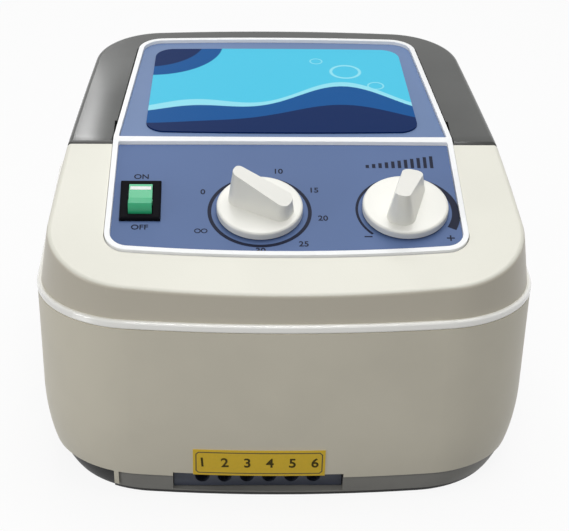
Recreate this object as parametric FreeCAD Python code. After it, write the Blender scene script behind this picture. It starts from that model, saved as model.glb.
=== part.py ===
"""Air compression therapy pump: table-top box with a sloping control panel.

Millimetres, +Z up, front towards -Y. The origin is on the table, below the middle of the box.
"""
import FreeCAD, Part
import math
import os

# ---------------------------------------------------------------- overall sizes
width = 188.6               # over the seam ledge
depth = 192.0               # over the seam ledge
seam_height = 74.7          # underside of the ledge above the table
roof_front_height = 90.0    # top face at its front edge
roof_front_set = 2.5        # front edge of the top face behind the ledge
panel_slope = 18.4          # degrees, control panel
display_slope = 5.8         # degrees, display section
kink_y = -12.9              # where the two slopes meet
kink_round = 40.0           # rounding of the roof between the slopes

# ---------------------------------------------------------------- shell
wall = 2.6
ledge_thick = 3.5
ledge_stand = 1.2           # ledge stands out past the cover wall
ledge_round = 1.1
corner_round = 40.0         # plan corners at the ledge
cover_corner_top = 22.0     # front plan corners at the height of the loft's top
cover_corner_rear = 26.0    # and the rear ones
front_bow = 470.0           # plan radius of the front wall
rear_bow = 600.0            # plan radius of the rear wall
loft_top = 136.0            # height at which the cover loft ends, above the roof
cover_lean_front = 10.9     # side walls lean in by this much at loft_top, at the front
cover_lean_rear = 21.2
cover_top_front_set = 2.0   # how far the front wall leans back at loft_top
cover_top_rear_set = 3.0
shoulder_round = 1.8        # rounding of the edge of the top face
tub_top_set = 0.2           # tub wall behind the ledge
split_height = 10.0         # seam between the cream tub and the dark base
base_bottom = 0.7
side_draft = 0.01           # tub walls lean in by this share of the height
end_draft = 0.061
turn_height = 34.0          # below this the walls turn in along an ellipse
turn_reach = 36.0
side_turn = 12.5
end_turn = 4.6
corner_turn = 3.0
turn_steps = 6
base_set = 0.8              # dark base behind the tub
base_floor = 1.8
notch_right = -65.5         # shallow notch in the base's front left corner
notch_rear = -52.0
notch_deep = 0.8
tab_wide = 1.8              # cream tab beside the notch
tab_low = 3.0
tongue_high = 2.5           # locating rims at both seams
tongue_thick = 1.8
tongue_gap = 0.9

# ---------------------------------------------------------------- case screws and feet
pillar_x = 71.0
pillar_y = 70.0
pillar_radius = 5.0
pillar_rib = 2.0
screw_radius = 2.0
screw_gap = 0.3
screw_bite = 14.0           # thread length in the cover's bosses
screw_head_radius = 3.6
screw_head_high = 2.4
foot_radius = 8.0
foot_x = 60.0
foot_y = 50.0
foot_seat = 0.8             # depth of the foot's seat in the base
foot_stem = 2.5
foot_bulb = 3.6
foot_bulb_high = 2.0

# ---------------------------------------------------------------- panel frame and overlays
panel_front_y = -73.6
panel_rear_y = 80.0
panel_front_half = 65.6
panel_kink_half = 64.3
panel_rear_half = 57.4
panel_front_round = 7.0
panel_rear_round = 9.0
panel_front_bow = 640.0
panel_rear_bow = 900.0
rim_width = 2.0
rim_stand = 0.9             # rim above the roof
bar_half = 1.5              # half width of the bar at the kink
frame_seat = 2.4            # depth of the frame's pocket
frame_plate = 1.5           # plate under the overlays
overlay_thick = 0.5
overlay_gap = 0.15
frame_gap = 0.3
display_half_front = 54.0
display_half_rear = 52.0
display_front_y = -6.2
display_rear_y = 72.1
display_round = 8.0
display_thick = 0.6

# ---------------------------------------------------------------- carry handle
handle_front_y = -15.0      # front end of the arms' recess
handle_end_round = 9.5      # rounded arm ends, about the pivot
pivot_drop = 6.5            # pivot below the roof
handle_deep = 16.0
handle_gap = 0.6
handle_side_gap = 0.8
pin_radius = 2.5
pin_gap = 0.06
pin_reach = 11.0            # pin length in each arm
pin_boss = 5.0
pin_boss_length = 7.0
hub_relief = 11.5
hub_relief_set = 0.0
grip_wall = 3.0
finger_half = 38.0
finger_high = 13.0
finger_front_y = 76.0

# ---------------------------------------------------------------- knobs
timer_x = -9.9
timer_s = 44.2              # up the slope from the front edge of the roof
pressure_x = 44.9
pressure_s = 44.8
knob_radius = 16.2
knob_float = 0.7            # skirt above the overlay
skirt_high = 3.0
skirt_round = 1.0
grip_long = 26.0
grip_wide = 11.6
grip_top_wide = 5.0
grip_high = 14.0            # tall end, above the skirt
grip_low = 5.6              # pointer end, above the skirt
grip_offset = 0.5
timer_pointer = -28.0       # degrees from +X, seen from above the panel
pressure_pointer = 73.5
shaft_radius = 3.0
shaft_in_knob = 9.0
bush_radius = 4.4
bush_gap = 0.3
nut_radius = 7.0
nut_high = 2.0
nut_room = 1.0

# ---------------------------------------------------------------- rocker switch
switch_x = -54.7
switch_s = 49.5
bezel_wide = 15.4
bezel_long = 21.6
bezel_high = 1.6
bezel_round = 1.0
slot_wide = 9.4
slot_long = 17.0
rocker_wide = 8.8
rocker_round = 8.0          # radius of the rocker's ends about its pivot
rocker_tilt = 24.0          # degrees between ON and OFF
rocker_pivot_drop = 2.0     # pivot below the bezel's face
rocker_valley = 2.5
rocker_belly = 5.0
rocker_pin = 1.1
switch_body_wide = 12.8
switch_body_long = 19.2
switch_body_deep = 17.0
terminal_wide = 4.8
terminal_thick = 0.8
terminal_long = 8.0

# ---------------------------------------------------------------- timer, regulator
timer_side = 44.0
timer_deep = 27.0
regulator_radius = 11.0
regulator_deep = 30.0
regulator_wall = 2.5
plunger_high = 4.0
plunger_gap = 0.35
plunger_depth = 10.0        # plunger's top below the body's top
plunger_bore = 4.4          # depth of the hole that the spindle's end turns in
spindle_bite = 1.8          # spindle's end inside that hole, at rest
spring_radius = 6.0
spring_wire = 0.6
spring_turns = 5
hose_bore = 1.2             # radius of the nipples
hose_radius = 1.8
nipple_long = 5.0
hose_run = 26.0             # shortest straight run beside a square bend of a tube

# ---------------------------------------------------------------- air outlets
port_count = 6
port_pitch = 8.56
port_middle_x = -10.2
port_height = 7.4
port_radius = 2.8
port_deep = 12.0
port_air = 0.8
outlet_half = 32.3
outlet_face_y = -84.4
outlet_back_y = -62.0
outlet_top = 11.4
outlet_gap = 0.3
outlet_floor_y = -76.0      # the block rests on the base behind this
outlet_under = 3.0

# ---------------------------------------------------------------- air distributor
distributor_y = -25.0
distributor_side = 11.6     # manifold past the outermost nipples
distributor_half_y = 19.0
distributor_bottom = 39.5
distributor_high = 12.0
distributor_lid = 2.5
rotor_radius = 15.0
rotor_gap = 0.35
rotor_floor = 3.5
rotor_high = 6.0
motor_radius = 24.0
motor_high = 12.0
motor_shaft = 3.0
leg_radius = 4.0
supply_arm_half = 4.5
supply_arm_end = 14.2
motor_screw_radius = 1.5
motor_screw_x = 27.5
motor_screw_y = 15.0

# ---------------------------------------------------------------- diaphragm pump
pump_x = 15.0
pump_y = 40.0
pump_height = 38.0
nozzle_y = 48.0
isolator_radius = 6.0
isolator_high = 8.0
isolator_x = 34.0
isolator_y = 21.0
chassis_half_x = 44.0
chassis_half_y = 27.0
chassis_thick = 3.0
end_wall = 3.0
end_wall_half = 22.0
end_hole = 15.0
armature_half_x = 39.0
armature_half_y = 5.0
armature_half_z = 8.0
armature_travel = 1.2
magnet_half = 7.0
magnet_x = 12.0
magnet_proud = 1.0
air_gap = 0.8
core_half_x = 20.0
core_deep = 18.0
core_half_z = 11.0
core_limb = 5.0
core_side_limb = 5.5
core_back = 6.0
coil_gap = 0.0              # a coil lies on its limb
coil_over = 7.0
diaphragm_thick = 1.6
diaphragm_radius = 19.0
head_deep = 13.0
head_half = 21.0
chamber_radius = 15.0
chamber_deep = 8.0
nozzle_high = 7.0
pump_screw_radius = 1.5
pump_screw_set = 17.5
filter_radius = 9.0
filter_high = 4.0

# ---------------------------------------------------------------- rear sockets
pad_half_x = 29.5
pad_x = -30.5
pad_height = 38.0
pad_half_z = 16.0
pad_face_y = 89.5           # flat floor of the recess in the rear wall
pad_thick = 3.0
pad_round = 3.0
inlet_x = -40.0
inlet_half_x = 14.0
inlet_half_z = 10.2
inlet_flange_x = 17.5
inlet_flange_z = 13.0
inlet_flange_thick = 1.8
inlet_deep = 18.0
socket_half_x = 12.0
socket_half_z = 8.2
socket_deep = 15.0
socket_corner = 3.0
blade_wide = 4.0
blade_thick = 2.0
blade_long = 13.0
blade_pitch = 7.0
fuse_x = -12.0
fuse_body_radius = 6.0
fuse_body_long = 24.0
fuse_cap_radius = 7.5
fuse_cap_high = 1.9
fuse_radius = 2.6
fuse_long = 20.0
lead_x = -46.0              # inlet's two tabs, one above the other
lead_rise = 5.0

# ---------------------------------------------------------------- wiring
terminal_block_x = -68.0
terminal_block_y = 12.0
terminal_block_half_x = 9.0
terminal_block_half_y = 13.0
terminal_block_high = 12.0
lead_radius = 1.1
lead_pitch = 8.0

# ---------------------------------------------------------------- strip label and vents
label_left = -35.1
label_right = 15.1
label_bottom = 11.4
label_top = 23.4
label_thick = 0.3
vent_count = 9
vent_pitch = 5.0
vent_wide = 2.4
vent_long = 26.0
vent_x = 34.0
vent_height = 38.0
base_vent_count = 7
base_vent_pitch = 8.0
base_vent_y = 40.0

far = 400.0                 # beyond every face of the box
slope = math.radians(panel_slope)
lift = math.radians(display_slope)
roof_front_y = -depth / 2 + roof_front_set
kink_z = roof_front_height + (kink_y - roof_front_y) * math.tan(slope)
pivot_y = handle_front_y + handle_gap + handle_end_round
floor_top = base_bottom + base_floor


def vec(x, y, z):
    """A point or direction."""
    return FreeCAD.Vector(x, y, z)


def box(x0, x1, y0, y1, z0, z1):
    """A block between two corners."""
    return Part.makeBox(x1 - x0, y1 - y0, z1 - z0, vec(x0, y0, z0))


def rod(radius, x, y, z, length, axis=(0, 0, 1)):
    """A cylinder from a point along an axis."""
    return Part.makeCylinder(radius, length, vec(x, y, z), vec(*axis))


def both_sides(shape):
    """The shape and its mirror image across the middle plane, as separate solids."""
    return Part.makeCompound([shape, shape.mirror(vec(0, 0, 0), vec(1, 0, 0))])


def fused(shapes):
    """One clean solid from touching shapes."""
    return shapes[0].multiFuse(shapes[1:]).removeSplitter()


# ---------------------------------------------------------------- plan outlines
def corner_points(side, centre, radius, start, end):
    """Three points of a corner arc about a centre, on the side x = side."""
    middle = (start - centre) + (end - centre)
    middle.normalize()
    points = (start, centre + middle * radius, end)
    return [vec(side * p.x, p.y, p.z) for p in points]


def outline(z, front_half, rear_half, front_y, rear_y, front_round, rear_round, bow_front, bow_rear):
    """Closed plan outline: bowed front and rear, straight sides and tangent corners."""
    front_x = front_half - front_round
    rear_x = rear_half - rear_round
    front_hub = vec(0, front_y + bow_front, z)
    rear_hub = vec(0, rear_y - bow_rear, z)
    front_centre = vec(front_x, front_hub.y - math.sqrt((bow_front - front_round) ** 2 - front_x ** 2), z)
    rear_centre = vec(rear_x, rear_hub.y + math.sqrt((bow_rear - rear_round) ** 2 - rear_x ** 2), z)
    front_point = front_hub + (front_centre - front_hub) * (bow_front / (bow_front - front_round))
    rear_point = rear_hub + (rear_centre - rear_hub) * (bow_rear / (bow_rear - rear_round))
    run = rear_centre - front_centre
    along = run * (1.0 / run.Length)
    share = (front_round - rear_round) / run.Length
    out = vec(along.y, -along.x, 0)
    normal = along * share + out * math.sqrt(1 - share ** 2)
    side_front = front_centre + normal * front_round
    side_rear = rear_centre + normal * rear_round
    edges = []
    edges.append(Part.Arc(vec(-front_point.x, front_point.y, z), vec(0, front_y, z), front_point).toShape())
    edges.append(Part.Arc(*corner_points(1, front_centre, front_round, front_point, side_front)).toShape())
    edges.append(Part.LineSegment(side_front, side_rear).toShape())
    edges.append(Part.Arc(*corner_points(1, rear_centre, rear_round, side_rear, rear_point)).toShape())
    edges.append(Part.Arc(rear_point, vec(0, rear_y, z), vec(-rear_point.x, rear_point.y, z)).toShape())
    edges.append(Part.Arc(*corner_points(-1, rear_centre, rear_round, rear_point, side_rear)).toShape())
    edges.append(Part.LineSegment(vec(-side_rear.x, side_rear.y, z), vec(-side_front.x, side_front.y, z)).toShape())
    edges.append(Part.Arc(*corner_points(-1, front_centre, front_round, side_front, front_point)).toShape())
    return Part.Wire(edges)


def ledge_outline(z, inset):
    """Outline of the seam ledge, drawn in by an inset."""
    half = width / 2 - inset
    reach = depth / 2 - inset
    corner = corner_round - inset
    return outline(z, half, half, -reach, reach, corner, corner, front_bow, rear_bow)


def prism(wire, height):
    """A solid with vertical walls over an outline."""
    return Part.Face(wire).extrude(vec(0, 0, height))


def plan_ring(inset_out, inset_in, z, height):
    """An upright wall that follows the ledge's outline."""
    return prism(ledge_outline(z, inset_out), height).cut(prism(ledge_outline(z, inset_in), height))


# ---------------------------------------------------------------- roof
def roof_height(y, rise):
    """Height of the roof, raised square to its slopes, without the rounding at the kink."""
    front = kink_z + (y - kink_y) * math.tan(slope) + rise / math.cos(slope)
    rear = kink_z + (y - kink_y) * math.tan(lift) + rise / math.cos(lift)
    return min(front, rear)


def kink_at(rise):
    """Where the two slopes cross when the roof is raised."""
    step = rise * (1 / math.cos(lift) - 1 / math.cos(slope)) / (math.tan(slope) - math.tan(lift))
    y = kink_y + step
    return y, roof_height(y, rise)


def under_roof(rise):
    """Everything below the roof raised by a distance."""
    y, z = kink_at(rise)
    run = (kink_round + rise) * math.tan((slope - lift) / 2)
    front = vec(-far, y - run * math.cos(slope), z - run * math.sin(slope))
    rear = vec(-far, y + run * math.cos(lift), z + run * math.sin(lift))
    hub_y = front.y + (kink_round + rise) * math.sin(slope)
    hub_z = front.z - (kink_round + rise) * math.cos(slope)
    turn = (slope + lift) / 2
    top_y = hub_y - (kink_round + rise) * math.sin(turn)
    top_z = hub_z + (kink_round + rise) * math.cos(turn)
    start = vec(-far, -far / 2, roof_height(-far / 2, rise))
    end = vec(-far, far / 2, roof_height(far / 2, rise))
    below = -far
    edges = [Part.LineSegment(start, front).toShape(),
             Part.Arc(front, vec(-far, top_y, top_z), rear).toShape(),
             Part.LineSegment(rear, end).toShape(),
             Part.LineSegment(end, vec(-far, end.y, below)).toShape(),
             Part.LineSegment(vec(-far, end.y, below), vec(-far, start.y, below)).toShape(),
             Part.LineSegment(vec(-far, start.y, below), start).toShape()]
    return Part.Face(Part.Wire(edges)).extrude(vec(2 * far, 0, 0))


def roof_layer(low, high):
    """The layer between two raised roofs."""
    return under_roof(high).cut(under_roof(low))


def panel_place(x, s, n=0.0, turn=0.0):
    """Placement on the control panel: x across, s up the slope, n out of the roof."""
    y = roof_front_y + s * math.cos(slope) - n * math.sin(slope)
    z = roof_front_height + s * math.sin(slope) + n * math.cos(slope)
    tilt = FreeCAD.Rotation(vec(1, 0, 0), panel_slope)
    spin = FreeCAD.Rotation(vec(0, 0, 1), turn)
    return FreeCAD.Placement(vec(x, y, z), tilt.multiply(spin))


def on_panel(shape, x, s, n=0.0, turn=0.0):
    """A shape drawn about its own Z axis, set on the control panel."""
    placed = shape.copy()
    placed.Placement = panel_place(x, s, n, turn).multiply(placed.Placement)
    return placed


# ---------------------------------------------------------------- outer forms
def cover_loft(inset):
    """Leaning walls of the upper cover, drawn in by an inset."""
    foot = ledge_stand + inset
    base_wire = ledge_outline(seam_height, foot)
    top_wire = outline(loft_top, width / 2 - cover_lean_front - inset, width / 2 - cover_lean_rear - inset,
                       -depth / 2 + foot + cover_top_front_set, depth / 2 - foot - cover_top_rear_set,
                       cover_corner_top - inset, cover_corner_rear - inset, front_bow, rear_bow)
    return Part.makeLoft([base_wire, top_wire], True, True)


def is_shoulder(edge):
    """True for an edge between the top face and a wall."""
    middle = edge.valueAt((edge.FirstParameter + edge.LastParameter) / 2)
    on_top = abs(middle.z - roof_height(middle.y, 0)) < 0.4
    across = abs(edge.Vertexes[0].Y - edge.Vertexes[-1].Y) < 0.01
    at_kink = abs(middle.y - kink_y) < kink_round / 2
    return on_top and not (across and at_kink)


def cover_form():
    """Outside of the cover above the ledge, with its rounded shoulder."""
    form = cover_loft(0.0).common(under_roof(0.0))
    edges = [e for e in form.Edges if is_shoulder(e)]
    return form.makeFillet(shoulder_round, edges)


def lower_outline(z, inset):
    """Plan outline of the tub and base at a height, drawn in by an inset."""
    drop = max(0.0, turn_height - z) / turn_reach
    bend = 1 - math.sqrt(1 - drop ** 2)
    fall = seam_height - z
    half = width / 2 - tub_top_set - side_draft * fall - side_turn * bend - inset
    reach = depth / 2 - tub_top_set - end_draft * fall - end_turn * bend - inset
    corner = corner_round - tub_top_set - corner_turn * bend - inset
    return outline(z, half, half, -reach, reach, corner, corner, front_bow, rear_bow)


def tub_form(low, high, inset):
    """Form of the tub and base between two heights, drawn in by an inset."""
    top = prism_between(seam_height, turn_height, inset)
    steepest = math.asin((turn_height - base_bottom) / turn_reach)
    wires = []
    for i in range(turn_steps + 1):
        z = turn_height - turn_reach * math.sin(steepest * i / turn_steps)
        wires.append(lower_outline(z, inset))
    wires.reverse()
    turned = Part.makeLoft(wires, True, False)
    form = fused([top, turned])
    return form.common(box(-far, far, -far, far, low, high))


def prism_between(high, low, inset):
    """Straight-sided part of the tub."""
    return Part.makeLoft([lower_outline(low, inset), lower_outline(high, inset)], True, True)


def panel_outline(z, grow, part):
    """Plan outline of one section of the panel, grown all round."""
    front_round = panel_front_round + grow
    rear_round = panel_rear_round + grow
    small = bar_half / 2
    if part == "control":
        return outline(z, panel_front_half + grow, panel_kink_half + grow, panel_front_y - grow,
                       kink_y - bar_half + grow, front_round, small, panel_front_bow, far * 20)
    return outline(z, panel_kink_half + grow, panel_rear_half + grow, kink_y + bar_half - grow,
                   panel_rear_y + grow, small, rear_round, far * 20, panel_rear_bow)


def panel_prism(grow):
    """Upright solid over the whole panel, grown all round."""
    height = loft_top
    control = prism(panel_outline(0, grow, "control"), height)
    display = prism(panel_outline(0, grow, "display"), height)
    reach = panel_kink_half + grow
    bridge_front = kink_y - 2 * bar_half
    bridge_rear = kink_y + 2 * bar_half
    lean = (panel_front_half - panel_kink_half) / (kink_y - panel_front_y)
    drift = (panel_kink_half - panel_rear_half) / (panel_rear_y - kink_y)
    front_reach = reach + lean * 2 * bar_half
    rear_reach = reach - drift * 2 * bar_half
    points = [vec(-front_reach, bridge_front, 0), vec(front_reach, bridge_front, 0), vec(reach, kink_y, 0),
              vec(rear_reach, bridge_rear, 0), vec(-rear_reach, bridge_rear, 0), vec(-reach, kink_y, 0),
              vec(-front_reach, bridge_front, 0)]
    bridge = prism(Part.makePolygon(points), height)
    return fused([control, bridge, display])


# ---------------------------------------------------------------- handle space
def handle_space(gap, side_gap, under):
    """Space of the handle: round the display section, above a floor, behind the arms' front ends."""
    block = box(-far, far, handle_front_y + gap, far, 0, far)
    inner = panel_prism(rim_width + side_gap)
    return block.cut(inner).cut(under_roof(-handle_deep - handle_gap + under))


def pivot_height():
    """Height of the handle's pivot."""
    return roof_height(pivot_y, 0) - pivot_drop


def pin_face():
    """Distance from the middle to the wall that carries a pin."""
    drift = (panel_kink_half - panel_rear_half) / (panel_rear_y - kink_y)
    return panel_kink_half + rim_width - drift * (pivot_y - kink_y)


def finger_space(grow):
    """Hand opening in the rear wall under the handle's bar."""
    top = roof_height(panel_rear_y, -handle_deep)
    half = finger_half + grow
    return box(-half, half, finger_front_y - grow, far, top - finger_high - grow, top + grow)


# ---------------------------------------------------------------- casings
def pillar_places():
    """Centres of the four case screws."""
    return [(sx * pillar_x, sy * pillar_y) for sx in (-1, 1) for sy in (-1, 1)]


def pillar_rib_block(x, y, low, high, half):
    """Upright block from a pillar out to the corner of a wall."""
    length = 2 * pillar_radius + 4 * wall
    rib = box(0, length, -half, half, low, high)
    rib.rotate(vec(0, 0, 0), vec(0, 0, 1), math.degrees(math.atan2(y, x)))
    rib.translate(vec(x, y, 0))
    return rib


def pillar(x, y, low, high, outer):
    """A screw pillar with a rib that joins it to the corner of a wall."""
    post = rod(pillar_radius, x, y, low, high - low)
    rib = pillar_rib_block(x, y, low, high, pillar_rib / 2)
    return fused([post, rib]).common(outer)


def pillar_room(low, high):
    """Room in the locating rims for the pillars and ribs of the other half."""
    rooms = []
    for x, y in pillar_places():
        rooms.append(rod(pillar_radius + tongue_gap, x, y, low, high - low))
        rooms.append(pillar_rib_block(x, y, low, high, pillar_rib / 2 + tongue_gap))
    return Part.makeCompound(rooms)


def rear_recess(grow):
    """Rectangular block over the recess for the rear sockets, rounded at its corners."""
    block = box(pad_x - pad_half_x - grow, pad_x + pad_half_x + grow, 0, far,
                pad_height - pad_half_z - grow, pad_height + pad_half_z + grow)
    corners = [e for e in block.Edges if abs(e.Vertexes[0].Y - e.Vertexes[-1].Y) > 1]
    return block.makeFillet(pad_round + grow, corners)


def make_lower_housing():
    """Tall tub between the dark base and the seam."""
    outer = tub_form(split_height, seam_height, 0.0)
    inner = tub_form(split_height, seam_height, wall)
    shell = outer.cut(inner)
    inset = ledge_stand + wall + tongue_gap
    rim_low = seam_height - tongue_high
    rim = plan_ring(inset, inset + tongue_thick, rim_low, 2 * tongue_high)
    rim = rim.cut(pillar_room(seam_height, seam_height + 2 * tongue_high))
    carrier = plan_ring(tub_top_set + wall / 2, inset + tongue_thick, rim_low, tongue_high)
    parts = [shell, rim, carrier]
    for x, y in pillar_places():
        parts.append(pillar(x, y, split_height, seam_height, outer))
    parts.append(front_tab())
    recess_zone = box(-far, far, pad_face_y - pad_thick, far, 0, far)
    parts.append(rear_recess(pad_thick).common(recess_zone).common(outer))
    housing = fused(parts)
    housing = housing.cut(rear_recess(0.0).common(box(-far, far, pad_face_y, far, 0, far)))
    for x, y in pillar_places():
        housing = housing.cut(rod(screw_radius + screw_gap, x, y, 0, far))
    housing = housing.cut(box(inlet_x - inlet_half_x - screw_gap, inlet_x + inlet_half_x + screw_gap,
                              0, far, pad_height - inlet_half_z - screw_gap,
                              pad_height + inlet_half_z + screw_gap))
    housing = housing.cut(rod(fuse_body_radius + screw_gap, fuse_x, 0, pad_height, far, (0, 1, 0)))
    housing = housing.cut(outlet_opening())
    for i in range(vent_count):
        x = vent_x + (i - (vent_count - 1) / 2) * vent_pitch
        slot = box(x - vent_wide / 2, x + vent_wide / 2, depth / 4, far,
                   vent_height - vent_long / 2, vent_height + vent_long / 2)
        housing = housing.cut(slot)
    return housing


def notch_zone():
    """Block over the base's front left corner."""
    return box(-far, notch_right, -far, notch_rear, 0, split_height)


def skin(low, high, inset, thick):
    """Layer of the lower form, from an inset inwards."""
    return tub_form(low, high, inset).cut(tub_form(low, high, inset + thick))


def front_tab():
    """Thin tab that hangs from the tub over the base, beside the notch."""
    strip = box(notch_right, notch_right + tab_wide, -far, 0, tab_low, split_height + base_set)
    return skin(tab_low, split_height + base_set, 0.0, base_set).common(strip)


def outlet_opening():
    """Mouth in the front of the base round the outlet block."""
    half = outlet_half + outlet_gap
    return box(port_middle_x - half, port_middle_x + half, -depth, outlet_floor_y,
               outlet_under - outlet_gap, outlet_top + outlet_gap)


def make_base_plate():
    """Dark base tray with screw pillars, feet seats, vents and the outlet mouth."""
    outer = tub_form(base_bottom, split_height, base_set)
    inner = tub_form(base_bottom, split_height, base_set + wall)
    hollow = inner.common(box(-far, far, -far, far, floor_top, far))
    tray = outer.cut(hollow)
    low = split_height - tongue_high
    rim_out = prism(lower_outline(split_height, wall + tongue_gap), 2 * tongue_high)
    rim_in = prism(lower_outline(split_height, wall + tongue_gap + tongue_thick), 2 * tongue_high)
    rim = rim_out.cut(rim_in)
    rim.translate(vec(0, 0, -tongue_high))
    gap_box = outlet_half + outlet_gap + wall
    rim = rim.cut(box(port_middle_x - gap_box, port_middle_x + gap_box, -far, 0, low - 1, far))
    rim = rim.cut(pillar_room(split_height, split_height + 2 * tongue_high))
    parts = [tray, rim]
    for x, y in pillar_places():
        parts.append(pillar(x, y, base_bottom, split_height, outer))
    base = fused(parts)
    base = base.cut(skin(base_bottom, split_height, 0.0, base_set + notch_deep).common(notch_zone()))
    for x, y in pillar_places():
        base = base.cut(rod(screw_radius + screw_gap, x, y, 0, far))
        base = base.cut(rod(screw_head_radius + screw_gap, x, y, 0, base_bottom + screw_head_high + screw_gap))
    for x, y in foot_places():
        base = base.cut(rod(foot_radius, x, y, 0, base_bottom + foot_seat))
        base = base.cut(rod(foot_stem, x, y, 0, far))
    base = base.cut(outlet_opening())
    for i in range(base_vent_count):
        x = pump_x + (i - (base_vent_count - 1) / 2) * base_vent_pitch
        base = base.cut(box(x - vent_wide / 2, x + vent_wide / 2, base_vent_y - vent_long / 2,
                            base_vent_y + vent_long / 2, 0, floor_top + 1))
    return base


def make_upper_cover():
    """Upper cover: ledge, leaning walls, panel pocket, handle recess and hand opening."""
    form = cover_form()
    ledge = prism(ledge_outline(seam_height, 0.0), ledge_thick)
    long_edges = [e for e in ledge.Edges if abs(e.Vertexes[0].Z - e.Vertexes[-1].Z) < 0.01]
    ledge = ledge.makeFillet(ledge_round, long_edges)
    outer = form.fuse(ledge)
    hollow = cover_loft(wall).common(under_roof(-wall))
    backing = panel_prism(rim_width + wall).cut(under_roof(-frame_seat - wall))
    hollow = hollow.cut(backing)
    recess_walls = box(-far, far, handle_front_y - wall, far, 0, far)
    recess_walls = recess_walls.cut(panel_prism(rim_width - wall))
    recess_walls = recess_walls.cut(under_roof(-handle_deep - handle_gap - wall))
    hollow = hollow.cut(recess_walls).cut(finger_space(wall))
    cover = outer.cut(hollow)
    parts = [cover]
    for x, y in pillar_places():
        top = roof_height(y, 0) - wall
        if y > 0:
            top = roof_height(y, -handle_deep - handle_gap)
        parts.append(pillar(x, y, seam_height, top - wall / 2, cover_loft(wall / 2)))
    face = pin_face()
    for side in (-1, 1):
        start = side * (face - wall / 2)
        parts.append(rod(pin_boss, start, pivot_y, pivot_height(), pin_boss_length, (-side, 0, 0)))
    cover = fused(parts)
    cover = cover.cut(handle_space(0.0, 0.0, 0.0)).cut(finger_space(0.0))
    cover = cover.cut(panel_prism(rim_width + frame_gap).cut(under_roof(-frame_seat)))
    for x, y in pillar_places():
        cover = cover.cut(rod(screw_radius, x, y, 0, seam_height + screw_bite))
    reach = face + far
    cover = cover.cut(rod(pin_radius, -reach, pivot_y, pivot_height(), 2 * reach, (1, 0, 0)))
    for cutter in panel_holes(bush_gap):
        cover = cover.cut(cutter)
    return cover


def panel_holes(gap):
    """Holes through the panel for the two bushes and the switch body."""
    high = 2 * frame_seat + wall
    low = -frame_seat - 2 * wall
    bush = Part.makeCylinder(bush_radius + gap, high - low, vec(0, 0, low))
    half_x = switch_body_wide / 2 + gap
    half_y = switch_body_long / 2 + gap
    slot = box(-half_x, half_x, -half_y, half_y, low, high)
    return [on_panel(bush, timer_x, timer_s), on_panel(bush, pressure_x, pressure_s),
            on_panel(slot, switch_x, switch_s)]


# ---------------------------------------------------------------- carry handle
def make_carry_handle():
    """U-shaped handle that follows the rear shoulder of the cover, hollow from below."""
    space = handle_space(handle_gap, handle_side_gap, handle_gap)
    form = cover_form()
    handle = form.common(space)
    end = rod(handle_end_round, -far, pivot_y, pivot_height(), 2 * far, (1, 0, 0))
    ahead = box(-far, far, -far, pivot_y, 0, far)
    handle = handle.cut(ahead.cut(end))
    reach = pin_face() + hub_relief_set + handle_side_gap
    handle = handle.cut(rod(hub_relief, -reach, pivot_y, pivot_height(), 2 * reach, (1, 0, 0)))
    channel = cover_loft(grip_wall).common(under_roof(-grip_wall))
    channel = channel.cut(panel_prism(rim_width + handle_side_gap + grip_wall))
    channel = channel.common(box(-far, far, pivot_y + handle_end_round, far, 0, far))
    handle = handle.cut(channel)
    outer_end = pin_face() + pin_reach
    bore = rod(pin_radius + pin_gap, -outer_end - handle_gap, pivot_y, pivot_height(),
               2 * (outer_end + handle_gap), (1, 0, 0))
    return handle.cut(bore)


def make_handle_pins():
    """Two steel dowels that carry the handle."""
    start = pin_face() - wall / 2 - pin_boss_length
    length = wall / 2 + pin_boss_length + pin_reach
    return both_sides(rod(pin_radius, start, pivot_y, pivot_height(), length, (1, 0, 0)))


# ---------------------------------------------------------------- panel pieces
def make_panel_frame():
    """White frame: a plate in the cover's pocket with a raised rim and a bar at the kink."""
    whole = panel_prism(rim_width).common(roof_layer(-frame_seat, rim_stand))
    plate_top = frame_plate - frame_seat
    for part in ("control", "display"):
        opening = prism(panel_outline(0, 0.0, part), loft_top)
        whole = whole.cut(opening.cut(under_roof(plate_top)))
    for cutter in panel_holes(bush_gap):
        whole = whole.cut(cutter)
    return whole


def overlay(part):
    """Thin printed sheet lying on the frame's plate."""
    low = frame_plate - frame_seat
    sheet = prism(panel_outline(0, -overlay_gap, part), loft_top)
    return sheet.common(roof_layer(low, low + overlay_thick))


def make_control_overlay():
    """Blue sheet of the control section with its three holes."""
    sheet = overlay("control")
    for cutter in panel_holes(bush_gap):
        sheet = sheet.cut(cutter)
    return sheet


def overlay_top():
    """Height of the overlays' faces, out of the roof."""
    return frame_plate - frame_seat + overlay_thick


def make_display_plate():
    """Rounded window plate lying on the display overlay."""
    wire = outline(0, display_half_front, display_half_rear, display_front_y, display_rear_y,
                   display_round, display_round, front_bow * 3, rear_bow * 3)
    layer = roof_layer(overlay_top(), overlay_top() + display_thick)
    return prism(wire, loft_top).common(layer)


# ---------------------------------------------------------------- knobs
def rounded_bar(z, long, wide, round_off):
    """Closed outline of a bar with rounded corners, about the Z axis."""
    half_x = long / 2
    half_y = wide / 2
    plate = Part.makePlane(long, wide, vec(-half_x, -half_y, z))
    block = plate.extrude(vec(0, 0, 1))
    uprights = [e for e in block.Edges if abs(e.Vertexes[0].Z - e.Vertexes[-1].Z) > 0.5]
    block = block.makeFillet(round_off, uprights)
    lowest = min(block.Faces, key=lambda f: f.CenterOfMass.z)
    return lowest.OuterWire


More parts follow.
